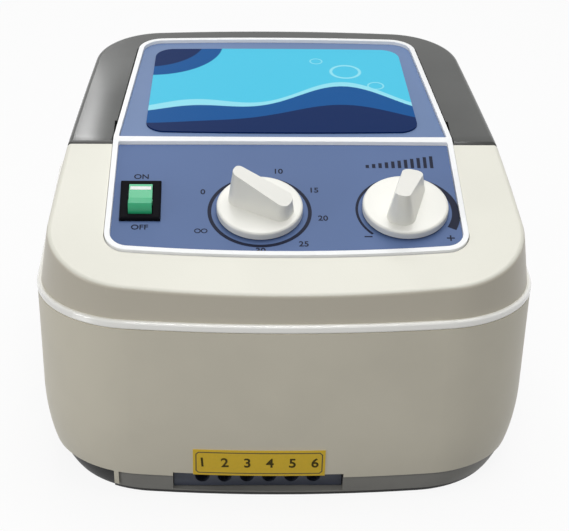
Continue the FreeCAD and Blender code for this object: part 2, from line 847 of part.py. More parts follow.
def knob():
    """Pointer knob about the Z axis, pointing to +X, with its skirt's underside at zero."""
    skirt = Part.makeCylinder(knob_radius, skirt_high)
    top_rim = [e for e in skirt.Edges if e.BoundBox.ZMin > skirt_high - 0.01]
    skirt = skirt.makeFillet(skirt_round, top_rim)
    foot = rounded_bar(skirt_high / 2, grip_long, grip_wide, grip_wide * 0.42)
    draft = (grip_wide - grip_top_wide) / 2
    crown = rounded_bar(skirt_high + grip_high, grip_long - draft, grip_top_wide, grip_top_wide * 0.4)
    grip = Part.makeLoft([foot, crown], True, True)
    grip.translate(vec(grip_offset, 0, 0))
    tall_x = grip_offset - grip_long / 2
    low_x = grip_offset + grip_long / 2
    crest = skirt_high + grip_high
    nose = skirt_high + grip_low
    ramp = Part.makePolygon([vec(tall_x - 1, -far, crest), vec(low_x + 1, -far, nose),
                             vec(low_x + 1, -far, far), vec(tall_x - 1, -far, far),
                             vec(tall_x - 1, -far, crest)])
    grip = grip.cut(Part.Face(ramp).extrude(vec(0, 2 * far, 0)))
    body = skirt.fuse(grip)
    room = Part.makeCylinder(nut_radius + nut_room, nut_high + nut_room - knob_float)
    bore = Part.makeCylinder(shaft_radius, shaft_in_knob)
    return body.cut(room).cut(bore)


def knob_height():
    """Underside of the knobs' skirts, out of the roof."""
    return overlay_top() + knob_float


def nut_ring():
    """Six-sided nut about the Z axis, its underside at zero."""
    flat = Part.makePolygon([vec(nut_radius * math.cos(math.radians(60 * i)),
                                 nut_radius * math.sin(math.radians(60 * i)), 0) for i in range(7)])
    body = Part.Face(flat).extrude(vec(0, 0, nut_high))
    return body.cut(Part.makeCylinder(bush_radius, nut_high))


def shaft(length_below):
    """Control shaft about the Z axis, from below the roof into the knob's bore."""
    top = knob_height() + shaft_in_knob
    return Part.makeCylinder(shaft_radius, top + length_below, vec(0, 0, -length_below))


def inside_face():
    """Underside of the panel's backing, out of the roof."""
    return -frame_seat - wall


def make_timer_body():
    """Clockwork timer box with its threaded bush."""
    top = inside_face()
    half = timer_side / 2
    case = box(-half, half, -half, half, top - timer_deep, top)
    uprights = [e for e in case.Edges if abs(e.Vertexes[0].Z - e.Vertexes[-1].Z) > 1]
    case = case.makeFillet(skirt_high, uprights)
    bush_top = overlay_top() + nut_high
    case = case.fuse(Part.makeCylinder(bush_radius, bush_top - top, vec(0, 0, top)))
    case = case.cut(Part.makeCylinder(shaft_radius + pin_gap, far, vec(0, 0, top - timer_deep / 2)))
    return on_panel(case, timer_x, timer_s)


def make_regulator_body():
    """Pressure regulator: a cup with a threaded bush and an air nipple below."""
    top = inside_face()
    body = Part.makeCylinder(regulator_radius, regulator_deep, vec(0, 0, top - regulator_deep))
    bush_top = overlay_top() + nut_high
    body = body.fuse(Part.makeCylinder(bush_radius, bush_top - top, vec(0, 0, top)))
    bottom = top - regulator_deep
    body = body.fuse(Part.makeCylinder(hose_bore, nipple_long, vec(0, 0, bottom - nipple_long)))
    chamber = regulator_radius - regulator_wall
    room = regulator_deep - 2 * regulator_wall
    body = body.cut(Part.makeCylinder(chamber, room, vec(0, 0, bottom + regulator_wall)))
    body = body.cut(Part.makeCylinder(shaft_radius + pin_gap, far, vec(0, 0, top - 2 * regulator_wall)))
    body = body.cut(Part.makeCylinder(hose_bore / 2, far, vec(0, 0, bottom - far + 2 * regulator_wall)))
    vent = Part.makeCylinder(hose_bore / 2, 2 * regulator_radius, vec(0, 0, bottom + 2 * regulator_wall),
                             vec(1, 0, 0))
    return on_panel(body.cut(vent), pressure_x, pressure_s)


def make_regulator_plunger():
    """Disc that runs on the spindle's end and bears on the spring."""
    top = inside_face() - plunger_depth
    disc = Part.makeCylinder(regulator_radius - regulator_wall - plunger_gap, plunger_high,
                             vec(0, 0, top - plunger_high))
    guide = Part.makeCylinder(spring_radius - 2 * spring_wire, plunger_high,
                              vec(0, 0, top - 2 * plunger_high))
    hole = Part.makeCylinder(shaft_radius + pin_gap, plunger_bore, vec(0, 0, top - plunger_bore))
    return on_panel(disc.fuse(guide).cut(hole), pressure_x, pressure_s)


def make_regulator_spring():
    """Coil spring between the plunger and the bottom of the regulator."""
    seat = inside_face() - regulator_deep + regulator_wall
    top = inside_face() - plunger_depth - plunger_high
    height = top - seat - 2 * spring_wire
    helix = Part.makeHelix(height / spring_turns, height, spring_radius)
    start = vec(spring_radius, 0, 0)
    circle = Part.Wire([Part.makeCircle(spring_wire, start, vec(0, 1, 0))])
    coil = Part.Wire(helix.Edges).makePipeShell([circle], True, True)
    coil.translate(vec(0, 0, seat + spring_wire))
    return on_panel(coil, pressure_x, pressure_s)


# ---------------------------------------------------------------- rocker switch
def bezel_face():
    """Face of the switch's bezel, out of the roof."""
    return overlay_top() + bezel_high


def make_switch_housing():
    """Black bezel and body with a slot for the rocker and two pivot holes."""
    low = overlay_top()
    half_x = bezel_wide / 2
    half_y = bezel_long / 2
    bezel = box(-half_x, half_x, -half_y, half_y, low, bezel_face())
    rounded = [e for e in bezel.Edges if e.BoundBox.ZMin > bezel_face() - 0.01]
    bezel = bezel.makeFillet(bezel_round, rounded)
    half_x = switch_body_wide / 2
    half_y = switch_body_long / 2
    bottom = low - switch_body_deep
    body = bezel.fuse(box(-half_x, half_x, -half_y, half_y, bottom, low + bezel_high / 2))
    pivot = bezel_face() - rocker_pivot_drop
    slot_bottom = pivot - rocker_belly - 2 * bezel_high
    body = body.cut(box(-slot_wide / 2, slot_wide / 2, -slot_long / 2, slot_long / 2, slot_bottom, far))
    half_pin = switch_body_wide / 2 - bezel_high / 2
    pins = Part.makeCylinder(rocker_pin + pin_gap, 2 * half_pin, vec(-half_pin, 0, pivot), vec(1, 0, 0))
    return on_panel(body.cut(pins), switch_x, switch_s)


def make_switch_rocker():
    """Rocker resting with its upper half pressed, on two stub pins."""
    drum = Part.makeCylinder(rocker_round, rocker_wide, vec(-rocker_wide / 2, 0, 0), vec(1, 0, 0))
    tilt = math.radians(rocker_tilt)
    above = Part.makePolygon([vec(-far, far, rocker_valley), vec(-far, 0, rocker_valley),
                              vec(-far, -far * math.cos(tilt), rocker_valley + far * math.sin(tilt)),
                              vec(-far, far, 2 * far), vec(-far, far, rocker_valley)])
    drum = drum.cut(Part.Face(above).extrude(vec(2 * far, 0, 0)))
    drum = drum.cut(box(-far, far, -far, far, -far, -rocker_belly))
    half_pin = switch_body_wide / 2 - bezel_high / 2 - pin_gap
    pins = Part.makeCylinder(rocker_pin, 2 * half_pin, vec(-half_pin, 0, 0), vec(1, 0, 0))
    rocker = drum.fuse(pins)
    return on_panel(rocker, switch_x, switch_s, bezel_face() - rocker_pivot_drop)


def make_switch_terminals():
    """Two tab terminals under the switch."""
    bottom = overlay_top() - switch_body_deep
    tabs = []
    for y in (-lead_pitch / 2, lead_pitch / 2):
        tab = box(-terminal_wide / 2, terminal_wide / 2, y - terminal_thick / 2, y + terminal_thick / 2,
                  bottom - terminal_long, bottom)
        tabs.append(on_panel(tab, switch_x, switch_s))
    return Part.makeCompound(tabs)


# ---------------------------------------------------------------- outlets
def port_places():
    """Centre lines of the six outlets."""
    first = port_middle_x - port_pitch * (port_count - 1) / 2
    return [first + i * port_pitch for i in range(port_count)]


def make_outlet_block():
    """Row of six air outlets, open at both ends."""
    left = port_middle_x - outlet_half
    right = port_middle_x + outlet_half
    nose = box(left, right, outlet_face_y, outlet_floor_y, outlet_under, outlet_top)
    tail = box(left, right, outlet_floor_y - 1, outlet_face_y + port_deep, floor_top, outlet_top)
    block = fused([nose, tail])
    for x in port_places():
        block = block.cut(rod(port_radius, x, outlet_face_y - 1, port_height, port_deep + 2, (0, 1, 0)))
    return block


def make_outlet_nipples():
    """Bar behind the outlet block with a nipple for each inner tube."""
    bar = box(port_middle_x - outlet_half, port_middle_x + outlet_half, outlet_face_y + port_deep,
              outlet_back_y, floor_top, outlet_top)
    for x in port_places():
        bar = bar.fuse(rod(hose_bore, x, outlet_back_y - 1, port_height, nipple_long + 1, (0, 1, 0)))
    for x in port_places():
        bar = bar.cut(rod(port_air, x, outlet_face_y, port_height, far, (0, 1, 0)))
    return bar


def bent_tube(points, radius):
    """Round tube along straight runs with tangent arcs at the inner points."""
    spots = [vec(*p) for p in points]
    edges = []
    start = spots[0]
    for before, corner, after in zip(spots, spots[1:], spots[2:]):
        back = before - corner
        on = after - corner
        turn = math.pi - back.getAngle(on)
        cut_back = 0.45 * min(back.Length, on.Length)
        bend = cut_back / math.tan(turn / 2)
        back.normalize()
        on.normalize()
        first = corner + back * cut_back
        last = corner + on * cut_back
        half = back + on
        half.normalize()
        middle = corner + half * (math.hypot(bend, cut_back) - bend)
        edges.append(Part.LineSegment(start, first).toShape())
        edges.append(Part.Arc(first, middle, last).toShape())
        start = last
        print("bend radius", round(bend, 2))
    edges.append(Part.LineSegment(start, spots[-1]).toShape())
    path = Part.Wire(edges)
    circle = Part.Wire([Part.makeCircle(radius, spots[0], spots[1] - spots[0])])
    tube = path.makePipeShell([circle], True, False)
    print("tube volume share", round(tube.Volume / (math.pi * radius ** 2 * path.Length), 4))
    return tube


def nipple_y():
    """Row of nipples under the manifold."""
    return outlet_back_y + nipple_long + hose_run


def make_port_tubes():
    """Six tubes from the outlet block's nipples up to the distributor."""
    tubes = []
    for x in port_places():
        points = [(x, outlet_back_y + nipple_long, port_height), (x, nipple_y(), port_height),
                  (x, nipple_y(), distributor_bottom - nipple_long)]
        tubes.append(bent_tube(points, hose_radius))
    return Part.makeCompound(tubes)


# ---------------------------------------------------------------- distributor
def distributor_half_x():
    """Half the width of the manifold."""
    return port_pitch * (port_count - 1) / 2 + distributor_side


def manifold_top():
    """Top of the manifold, where its lid lies."""
    return distributor_bottom + distributor_high


def manifold_middle():
    """Half the height of the manifold."""
    return distributor_bottom + distributor_high / 2


def motor_screw_places():
    """Four screw centres round the distributor's motor."""
    return [(port_middle_x + sx * motor_screw_x, distributor_y + sy * motor_screw_y)
            for sx in (-1, 1) for sy in (-1, 1)]


def distributor_block(low, high, inset):
    """Rectangular block in the distributor's stack."""
    half_x = distributor_half_x() - inset
    half_y = distributor_half_y - inset
    return box(port_middle_x - half_x, port_middle_x + half_x, distributor_y - half_y,
               distributor_y + half_y, low, high)


def supply_arm_y():
    """Centre of the nipple on the supply arm."""
    return supply_arm_end - supply_arm_half


def make_distributor_manifold():
    """Manifold block on four legs, with a rotor chamber, a supply arm and eight nipples."""
    x = port_middle_x
    parts = [distributor_block(distributor_bottom, manifold_top(), 0.0)]
    for sx in (-1, 1):
        for sy in (-1, 1):
            leg_x = x + sx * (distributor_half_x() - leg_radius)
            leg_y = distributor_y + sy * (distributor_half_y - leg_radius)
            parts.append(rod(leg_radius, leg_x, leg_y, floor_top, distributor_bottom - floor_top + 1))
    for port_x in port_places():
        parts.append(rod(hose_bore, port_x, nipple_y(), distributor_bottom - nipple_long, nipple_long + 1))
    parts.append(box(pump_x - supply_arm_half, pump_x + supply_arm_half,
                     distributor_y + distributor_half_y - 1, supply_arm_end,
                     distributor_bottom, manifold_top()))
    parts.append(rod(hose_bore, pump_x, supply_arm_y(), manifold_top() - 1, nipple_long + 1))
    side = x + distributor_half_x()
    parts.append(rod(hose_bore, side - 1, distributor_y, manifold_middle(), nipple_long + 1, (1, 0, 0)))
    body = fused(parts)
    body = body.cut(rod(rotor_radius + rotor_gap, x, distributor_y, distributor_bottom + rotor_floor, far))
    for port_x in port_places():
        body = body.cut(rod(port_air, port_x, nipple_y(), 0, distributor_bottom + rotor_floor))
    body = body.cut(rod(port_air, pump_x, supply_arm_y(), manifold_middle(), far))
    body = body.cut(rod(port_air, x, distributor_y, manifold_middle(), far, (1, 0, 0)))
    for sx, sy in motor_screw_places():
        body = body.cut(rod(motor_screw_radius, sx, sy, manifold_middle(), far))
    return body


def make_distributor_lid():
    """Lid over the rotor, with a hole for the motor's shaft."""
    lid = distributor_block(manifold_top(), manifold_top() + distributor_lid, 0.0)
    lid = lid.cut(rod(motor_shaft + screw_gap, port_middle_x, distributor_y, 0, far))
    for sx, sy in motor_screw_places():
        lid = lid.cut(rod(motor_screw_radius + screw_gap, sx, sy, 0, far))
    return lid


def rotor_low():
    """Underside of the rotor."""
    return distributor_bottom + rotor_floor + rotor_gap


def make_distributor_rotor():
    """Ported disc that the motor turns in the manifold."""
    disc = rod(rotor_radius, port_middle_x, distributor_y, rotor_low(), rotor_high)
    disc = disc.cut(rod(motor_shaft, port_middle_x, distributor_y, rotor_low() + rotor_high / 2, far))
    for turn in (0, 1, 2):
        angle = math.radians(120 * turn)
        hole_x = port_middle_x + rotor_radius * 0.6 * math.cos(angle)
        hole_y = distributor_y + rotor_radius * 0.6 * math.sin(angle)
        disc = disc.cut(rod(2 * port_air, hole_x, hole_y, 0, far))
    return disc


def motor_low():
    """Underside of the distributor's motor."""
    return manifold_top() + distributor_lid


def make_motor_shaft():
    """Shaft from the motor down into the rotor."""
    low = rotor_low() + rotor_high / 2
    top = motor_low() + motor_high / 2
    return rod(motor_shaft, port_middle_x, distributor_y, low, top - low)


def make_distributor_motor():
    """Flat synchronous motor on the lid."""
    can = rod(motor_radius, port_middle_x, distributor_y, motor_low(), motor_high)
    top_rim = [e for e in can.Edges if e.BoundBox.ZMin > motor_low() + motor_high - 0.01]
    can = can.makeFillet(skirt_round, top_rim)
    ears = distributor_block(motor_low(), motor_low() + 1, 1.0).common(can_reach())
    motor = can.fuse(ears).removeSplitter()
    motor = motor.cut(rod(motor_shaft + pin_gap, port_middle_x, distributor_y, 0, motor_low() + motor_high / 2))
    for sx, sy in motor_screw_places():
        motor = motor.cut(rod(motor_screw_radius + screw_gap, sx, sy, 0, far))
    return motor


def can_reach():
    """Disc that rounds the ears of the motor's mounting plate."""
    reach = math.hypot(motor_screw_x, motor_screw_y) + 2 * motor_screw_radius
    return rod(reach, port_middle_x, distributor_y, 0, far)


def make_motor_screws():
    """Four screws through motor, lid and manifold."""
    ear_top = motor_low() + 1
    screws = []
    for sx, sy in motor_screw_places():
        body = rod(motor_screw_radius, sx, sy, manifold_middle(), ear_top - manifold_middle())
        screws.append(body.fuse(rod(2 * motor_screw_radius, sx, sy, ear_top, 1.6)))
    return Part.makeCompound(screws)


# ---------------------------------------------------------------- diaphragm pump
def at_pump(shape):
    """A shape drawn about x = 0, moved to the pump's middle."""
    moved = shape.copy()
    moved.translate(vec(pump_x, 0, 0))
    return moved


def isolator_places():
    """Centres of the pump's rubber mounts."""
    return [(pump_x + sx * isolator_x, pump_y + sy * isolator_y) for sx in (-1, 1) for sy in (-1, 1)]


def make_pump_isolators():
    """Four rubber mounts with waists."""
    mounts = []
    for x, y in isolator_places():
        body = rod(isolator_radius, x, y, floor_top, isolator_high)
        waist = Part.makeTorus(isolator_radius + 1, isolator_high / 3, vec(x, y, floor_top + isolator_high / 2))
        mounts.append(body.cut(waist))
    return Part.makeCompound(mounts)


def chassis_low():
    """Underside of the pump's chassis."""
    return floor_top + isolator_high


def make_pump_chassis():
    """Pressed chassis with two end walls that clamp the diaphragms."""
    low = chassis_low()
    plate = box(-chassis_half_x, chassis_half_x, pump_y - chassis_half_y, pump_y + chassis_half_y,
                low, low + chassis_thick)
    parts = [plate]
    for side in (-1, 1):
        outer = side * chassis_half_x
        inner = side * (chassis_half_x - end_wall)
        parts.append(box(min(outer, inner), max(outer, inner), pump_y - end_wall_half, pump_y + end_wall_half,
                         low, pump_height + end_wall_half))
    chassis = fused(parts)
    chassis = chassis.cut(rod(end_hole, -far, pump_y, pump_height, 2 * far, (1, 0, 0)))
    for y, z in pump_screw_places():
        chassis = chassis.cut(rod(pump_screw_radius, -far, y, z, 2 * far, (1, 0, 0)))
    return at_pump(chassis)


def pump_screw_places():
    """Screw centres in the Y-Z plane round each pump head."""
    return [(pump_y + sy * pump_screw_set, pump_height + sz * pump_screw_set)
            for sy in (-1, 1) for sz in (-1, 1)]


def core_face():
    """Distance of the cores' pole faces from the middle of the armature."""
    return armature_half_y + magnet_proud + air_gap


def make_pump_cores():
    """Two laminated E cores facing the armature."""
    near = core_face()
    deep = near + core_deep
    window = core_half_x - core_side_limb
    cores = []
    for side in (-1, 1):
        block = box(-core_half_x, core_half_x, near, deep, -core_half_z, core_half_z)
        for sx in (-1, 1):
            x0 = min(sx * core_limb, sx * window)
            x1 = max(sx * core_limb, sx * window)
            block = block.cut(box(x0, x1, 0, deep - core_back, -far, far))
        pad_low = chassis_low() + chassis_thick - pump_height
        block = block.fuse(box(-core_half_x, core_half_x, deep - core_back, deep, pad_low, -core_half_z))
        if side < 0:
            block = block.mirror(vec(0, 0, 0), vec(0, 1, 0))
        block.translate(vec(pump_x, pump_y, pump_height))
        cores.append(block)
    return Part.makeCompound(cores)


def make_pump_coils():
    """Two coils wound round the cores' middle limbs."""
    near = core_face() + coil_gap
    deep = core_face() + core_deep - core_back - coil_gap
    inner_x = core_limb + coil_gap
    outer_x = core_half_x - core_side_limb - coil_gap
    inner_z = core_half_z + coil_gap
    outer_z = core_half_z + coil_over
    coils = []
    for side in (-1, 1):
        coil = box(-outer_x, outer_x, near, deep, -outer_z, outer_z)
        upright = [e for e in coil.Edges if abs(e.Vertexes[0].Y - e.Vertexes[-1].Y) > 1]
        coil = coil.makeFillet(coil_over / 2, upright)
        coil = coil.cut(box(-inner_x, inner_x, 0, far, -inner_z, inner_z))
        if side < 0:
            coil = coil.mirror(vec(0, 0, 0), vec(0, 1, 0))
        coil.translate(vec(pump_x, pump_y, pump_height))
        coils.append(coil)
    return Part.makeCompound(coils)


def make_pump_armature():
    """Armature bar with four magnets, its ends on the diaphragms."""
    bar = box(-armature_half_x, armature_half_x, pump_y - armature_half_y, pump_y + armature_half_y,
              pump_height - armature_half_z, pump_height + armature_half_z)
    parts = [bar]
    for x in (-magnet_x, magnet_x):
        parts.append(box(x - magnet_half, x + magnet_half, pump_y - armature_half_y - magnet_proud,
                         pump_y + armature_half_y + magnet_proud, pump_height - magnet_half,
                         pump_height + magnet_half))
    return at_pump(fused(parts))


def make_pump_diaphragms():
    """Two rubber diaphragms with hubs that reach the armature."""
    start = armature_half_x
    face = chassis_half_x
    disc = rod(diaphragm_radius, face, pump_y, pump_height, diaphragm_thick, (1, 0, 0))
    hub = rod(armature_half_z, start, pump_y, pump_height, face - start, (1, 0, 0))
    return at_pump(both_sides(disc.fuse(hub)))


def make_pump_heads():
    """Two valve heads with an outlet nozzle on top and an intake below."""
    start = chassis_half_x + diaphragm_thick
    block = box(start, start + head_deep, pump_y - head_half, pump_y + head_half,
                pump_height - head_half, pump_height + head_half)
    sharp = [e for e in block.Edges if abs(e.Vertexes[0].X - e.Vertexes[-1].X) > 1]
    block = block.makeFillet(coil_over / 2, sharp)
    top = pump_height + head_half
    x = start + head_deep / 2
    block = block.fuse(rod(hose_bore, x, nozzle_y, top - 1, nozzle_high + 1))
    block = block.cut(rod(chamber_radius, start, pump_y, pump_height, chamber_deep, (1, 0, 0)))
    block = block.cut(rod(port_air, x, nozzle_y, pump_height, far))
    for y, z in pump_screw_places():
        block = block.cut(rod(pump_screw_radius + screw_gap, 0, y, z, far, (1, 0, 0)))
    return at_pump(both_sides(block))


def make_pump_screws():
    """Eight screws that clamp the heads and diaphragms to the chassis."""
    head = chassis_half_x + diaphragm_thick + head_deep
    start = chassis_half_x - end_wall
    screws = []
    for y, z in pump_screw_places():
        body = rod(pump_screw_radius, start, y, z, head - start, (1, 0, 0))
        screw = body.fuse(rod(2 * pump_screw_radius, head, y, z, 1.6, (1, 0, 0)))
        screws.append(screw)
        screws.append(screw.mirror(vec(0, 0, 0), vec(1, 0, 0)))
    return at_pump(Part.makeCompound(screws))


def make_intake_filter():
    """Felt intake filter in its cap, on the chassis behind the armature."""
    low = chassis_low() + chassis_thick
    y = pump_y
    body = rod(filter_radius, pump_x, y, low, filter_high)
    return body.cut(rod(filter_radius - wall, pump_x, y, low + wall, filter_high))


def nozzle_top():
    """Upper end of the pump heads' nozzles."""
    return pump_height + head_half + nozzle_high


def cross_height():
    """Height of the three-way fitting's branches."""
    return nozzle_top() + hose_run


def fitting_reach():
    """Distance from the middle of the three-way fitting to a nipple's end."""
    return 2 * hose_radius + nipple_long


def make_three_way_fitting():
    """Three-way air fitting above the pump, held by its tubes."""
    z = cross_height()
    half = 2 * hose_radius
    hub = box(pump_x - half, pump_x + half, nozzle_y - half, nozzle_y + half, z - half, z + half)
    sharp = [e for e in hub.Edges if abs(e.Vertexes[0].Z - e.Vertexes[-1].Z) > 1]
    hub = hub.makeFillet(hose_bore, sharp)
    reach = fitting_reach()
    across = rod(hose_bore, pump_x - reach, nozzle_y, z, 2 * reach, (1, 0, 0))
    forward = rod(hose_bore, pump_x, nozzle_y, z, reach, (0, -1, 0))
    return fused([hub, across, forward])


def make_pump_tubes():
    """Two tubes from the pump heads' nozzles to the three-way fitting."""
    x = chassis_half_x + diaphragm_thick + head_deep / 2
    z = cross_height()
    points = [(x, nozzle_y, nozzle_top()), (x, nozzle_y, z), (fitting_reach(), nozzle_y, z)]
    return at_pump(both_sides(bent_tube(points, hose_radius)))


def make_supply_tube():
    """Tube from the three-way fitting down to the distributor's supply arm."""
    z = cross_height()
    points = [(pump_x, nozzle_y - fitting_reach(), z), (pump_x, supply_arm_y(), z),
              (pump_x, supply_arm_y(), manifold_top() + nipple_long)]
    return bent_tube(points, hose_radius)


def make_regulator_tube():
    """Tube from the distributor's side nipple to the regulator."""
    start_x = port_middle_x + distributor_half_x() + nipple_long
    end_n = inside_face() - regulator_deep - nipple_long
    end = panel_place(pressure_x, pressure_s, end_n).Base
    under = panel_place(pressure_x, pressure_s, end_n - 0.6 * hose_run).Base
    side = (start_x + 0.45 * hose_run, distributor_y, manifold_middle())
    points = [(start_x, distributor_y, manifold_middle()), side, (under.x, under.y, under.z),
              (end.x, end.y, end.z)]
    return bent_tube(points, hose_radius)


# ---------------------------------------------------------------- rear sockets
def make_mains_inlet():
    """Three-pin appliance inlet in the rear wall."""
    face = pad_face_y
    flange = box(inlet_x - inlet_flange_x, inlet_x + inlet_flange_x, face, face + inlet_flange_thick,
                 pad_height - inlet_flange_z, pad_height + inlet_flange_z)
    corners = [e for e in flange.Edges if abs(e.Vertexes[0].Y - e.Vertexes[-1].Y) > 1]
    flange = flange.makeFillet(socket_corner, corners)
    body = box(inlet_x - inlet_half_x, inlet_x + inlet_half_x, face - inlet_deep, face,
               pad_height - inlet_half_z, pad_height + inlet_half_z)
    socket = box(inlet_x - socket_half_x, inlet_x + socket_half_x, face + inlet_flange_thick - socket_deep, far,
                 pad_height - socket_half_z, pad_height + socket_half_z)
    lower = [e for e in socket.Edges if abs(e.Vertexes[0].Y - e.Vertexes[-1].Y) > 1]
    socket = socket.makeFillet(socket_corner, lower)
    return fused([flange, body]).cut(socket)


def blade_places():
    """Centres of the inlet's three blades in the X-Z plane."""
    rise = socket_half_z / 4
    return [(inlet_x - blade_pitch, pad_height - rise), (inlet_x, pad_height + rise),
            (inlet_x + blade_pitch, pad_height - rise)]


def make_inlet_blades():
    """Three contact blades standing in the inlet's socket."""
    bottom = pad_face_y + inlet_flange_thick - socket_deep
    blades = []
    for x, z in blade_places():
        blades.append(box(x - blade_thick / 2, x + blade_thick / 2, bottom, bottom + blade_long,
                          z - blade_wide / 2, z + blade_wide / 2))
    return Part.makeCompound(blades)


def make_fuse_holder():
    """Round fuse holder with a slotted cap, beside the inlet."""
    body = rod(fuse_body_radius, fuse_x, pad_face_y - fuse_body_long, pad_height, fuse_body_long, (0, 1, 0))
    cap = rod(fuse_cap_radius, fuse_x, pad_face_y, pad_height, fuse_cap_high, (0, 1, 0))
    holder = body.fuse(cap)
    slot = box(fuse_x - fuse_body_radius * 0.7, fuse_x + fuse_body_radius * 0.7,
               pad_face_y + fuse_cap_high / 2, far, pad_height - terminal_thick, pad_height + terminal_thick)
    start = pad_face_y - fuse_body_long + wall
    room = rod(fuse_radius + screw_gap / 3, fuse_x, start, pad_height, fuse_long, (0, 1, 0))
    return holder.cut(slot).cut(room)


def make_fuse():
    """Glass fuse inside the holder."""
    start = pad_face_y - fuse_body_long + wall
    return rod(fuse_radius, fuse_x, start, pad_height, fuse_long, (0, 1, 0))


# ---------------------------------------------------------------- wiring
def make_terminal_block():
    """Three-way terminal block on the base."""
    block = box(terminal_block_x - terminal_block_half_x, terminal_block_x + terminal_block_half_x,
                terminal_block_y - terminal_block_half_y, terminal_block_y + terminal_block_half_y,
                floor_top, floor_top + terminal_block_high)
    for i in (-1, 0, 1):
        block = block.cut(rod(2 * lead_radius, terminal_block_x, terminal_block_y + i * lead_pitch,
                              floor_top + terminal_block_high / 2, far))
    return block


def lead_height():
    """Height at which the leads enter the terminal block."""
    return floor_top + terminal_block_high * 0.7


def make_inlet_leads():
    """Two leads from the inlet down to the terminal block, outside the pump."""
    start_y = pad_face_y - inlet_deep
    end_y = terminal_block_y + terminal_block_half_y
    low = lead_height()
    leads = []
    for side in (-1, 1):
        z = pad_height + side * lead_rise
        end_x = terminal_block_x + side * lead_pitch / 4
        points = [(lead_x, start_y, z), (lead_x, start_y - 9.5, z), (lead_x - 10.5, start_y - 18.5, z - 8),
                  (end_x, end_y + 17, low), (end_x, end_y, low)]
        leads.append(bent_tube(points, lead_radius))
    return Part.makeCompound(leads)


def make_switch_leads():
    """Two leads from the terminal block up to the switch."""
    start_y = terminal_block_y - terminal_block_half_y
    end_n = overlay_top() - switch_body_deep - terminal_long
    low = lead_height()
    leads = []
    for side in (-1, 1):
        start_x = terminal_block_x - lead_pitch / 2 + side * lead_pitch / 4
        spot = switch_s - side * lead_pitch / 2
        end = panel_place(switch_x, spot, end_n).Base
        under = panel_place(switch_x, spot, end_n - 16).Base
        points = [(start_x, start_y, low), (start_x, start_y - 12 + side, low),
                  (start_x + 2.5, start_y - 23 + 3 * side, low + 14),
                  (start_x + 9, under.y + 1.5, low + 34), (under.x, under.y, under.z), (end.x, end.y, end.z)]
        leads.append(bent_tube(points, lead_radius))
    return Part.makeCompound(leads)


def make_motor_leads():
    """Two leads from the terminal block to the distributor's motor."""
    start_y = terminal_block_y - terminal_block_half_y
    low = lead_height()
    motor_z = motor_low() + motor_high / 2
    leads = []
    for side in (-1, 1):
        start_x = terminal_block_x + lead_pitch / 2 + side * lead_pitch / 4
        end_y = distributor_y + side * lead_pitch / 4
        end_x = port_middle_x - math.sqrt(motor_radius ** 2 - (end_y - distributor_y) ** 2)
        points = [(start_x, start_y, low), (start_x, start_y - 9, low),
                  (start_x + 4, start_y - 17 + side, low + 12), (start_x + 9, start_y - 21 + 2 * side, low + 29),
                  (end_x - 12, end_y, motor_z), (end_x, end_y, motor_z)]
        leads.append(bent_tube(points, lead_radius))
    return Part.makeCompound(leads)


# ---------------------------------------------------------------- fasteners, feet, label
def make_case_screws():
    """Four long screws from under the base up into the cover."""
    head_low = base_bottom + screw_gap
    length = seam_height + screw_bite - head_low - screw_head_high
    screws = []
    for x, y in pillar_places():
        head = rod(screw_head_radius, x, y, head_low, screw_head_high)
        screws.append(head.fuse(rod(screw_radius, x, y, head_low + screw_head_high, length)))
    return Part.makeCompound(screws)


def foot_places():
    """Centres of the four feet."""
    return [(sx * foot_x, sy * foot_y) for sx in (-1, 1) for sy in (-1, 1)]


def make_rubber_feet():
    """Four push-in rubber feet, each with a stem and a bulb above the floor."""
    feet = []
    for x, y in foot_places():
        foot = rod(foot_radius, x, y, 0, base_bottom + foot_seat)
        lower = [e for e in foot.Edges if e.BoundBox.ZMax < 0.01]
        foot = foot.makeFillet(base_bottom / 2, lower)
        stem = rod(foot_stem, x, y, base_bottom, floor_top - base_bottom + foot_bulb_high)
        bulb = rod(foot_bulb, x, y, floor_top, foot_bulb_high)
        feet.append(fused([foot, stem, bulb]))
    return Part.makeCompound(feet)


def make_strip_label():
    """Thin label that follows the front of the tub above the outlets."""
    skin = tub_form(split_height, seam_height, -label_thick)
    body = tub_form(split_height, seam_height, 0.0)
    zone = box(label_left, label_right, -far, 0, label_bottom, label_top)
    return skin.common(zone).cut(body)


def make_timer_knob():
    """Timer knob on its shaft."""
    return on_panel(knob(), timer_x, timer_s, knob_height(), timer_pointer)


def make_pressure_knob():
    """Pressure knob on its spindle."""
    return on_panel(knob(), pressure_x, pressure_s, knob_height(), pressure_pointer)


def make_timer_shaft():
    """Shaft of the timer, half way into its box."""
    return on_panel(shaft(timer_deep / 2 - inside_face()), timer_x, timer_s)


def make_regulator_spindle():
    """Spindle of the regulator, down into the plunger's hole."""
    return on_panel(shaft(plunger_depth - inside_face() + spindle_bite), pressure_x, pressure_s)


def make_timer_nut():
    """Nut on the timer's bush."""
    return on_panel(nut_ring(), timer_x, timer_s, overlay_top())


def make_regulator_nut():
    """Nut on the regulator's bush."""
    return on_panel(nut_ring(), pressure_x, pressure_s, overlay_top())


def make_display_overlay():
    """Blue sheet of the display section."""
    return overlay("display")


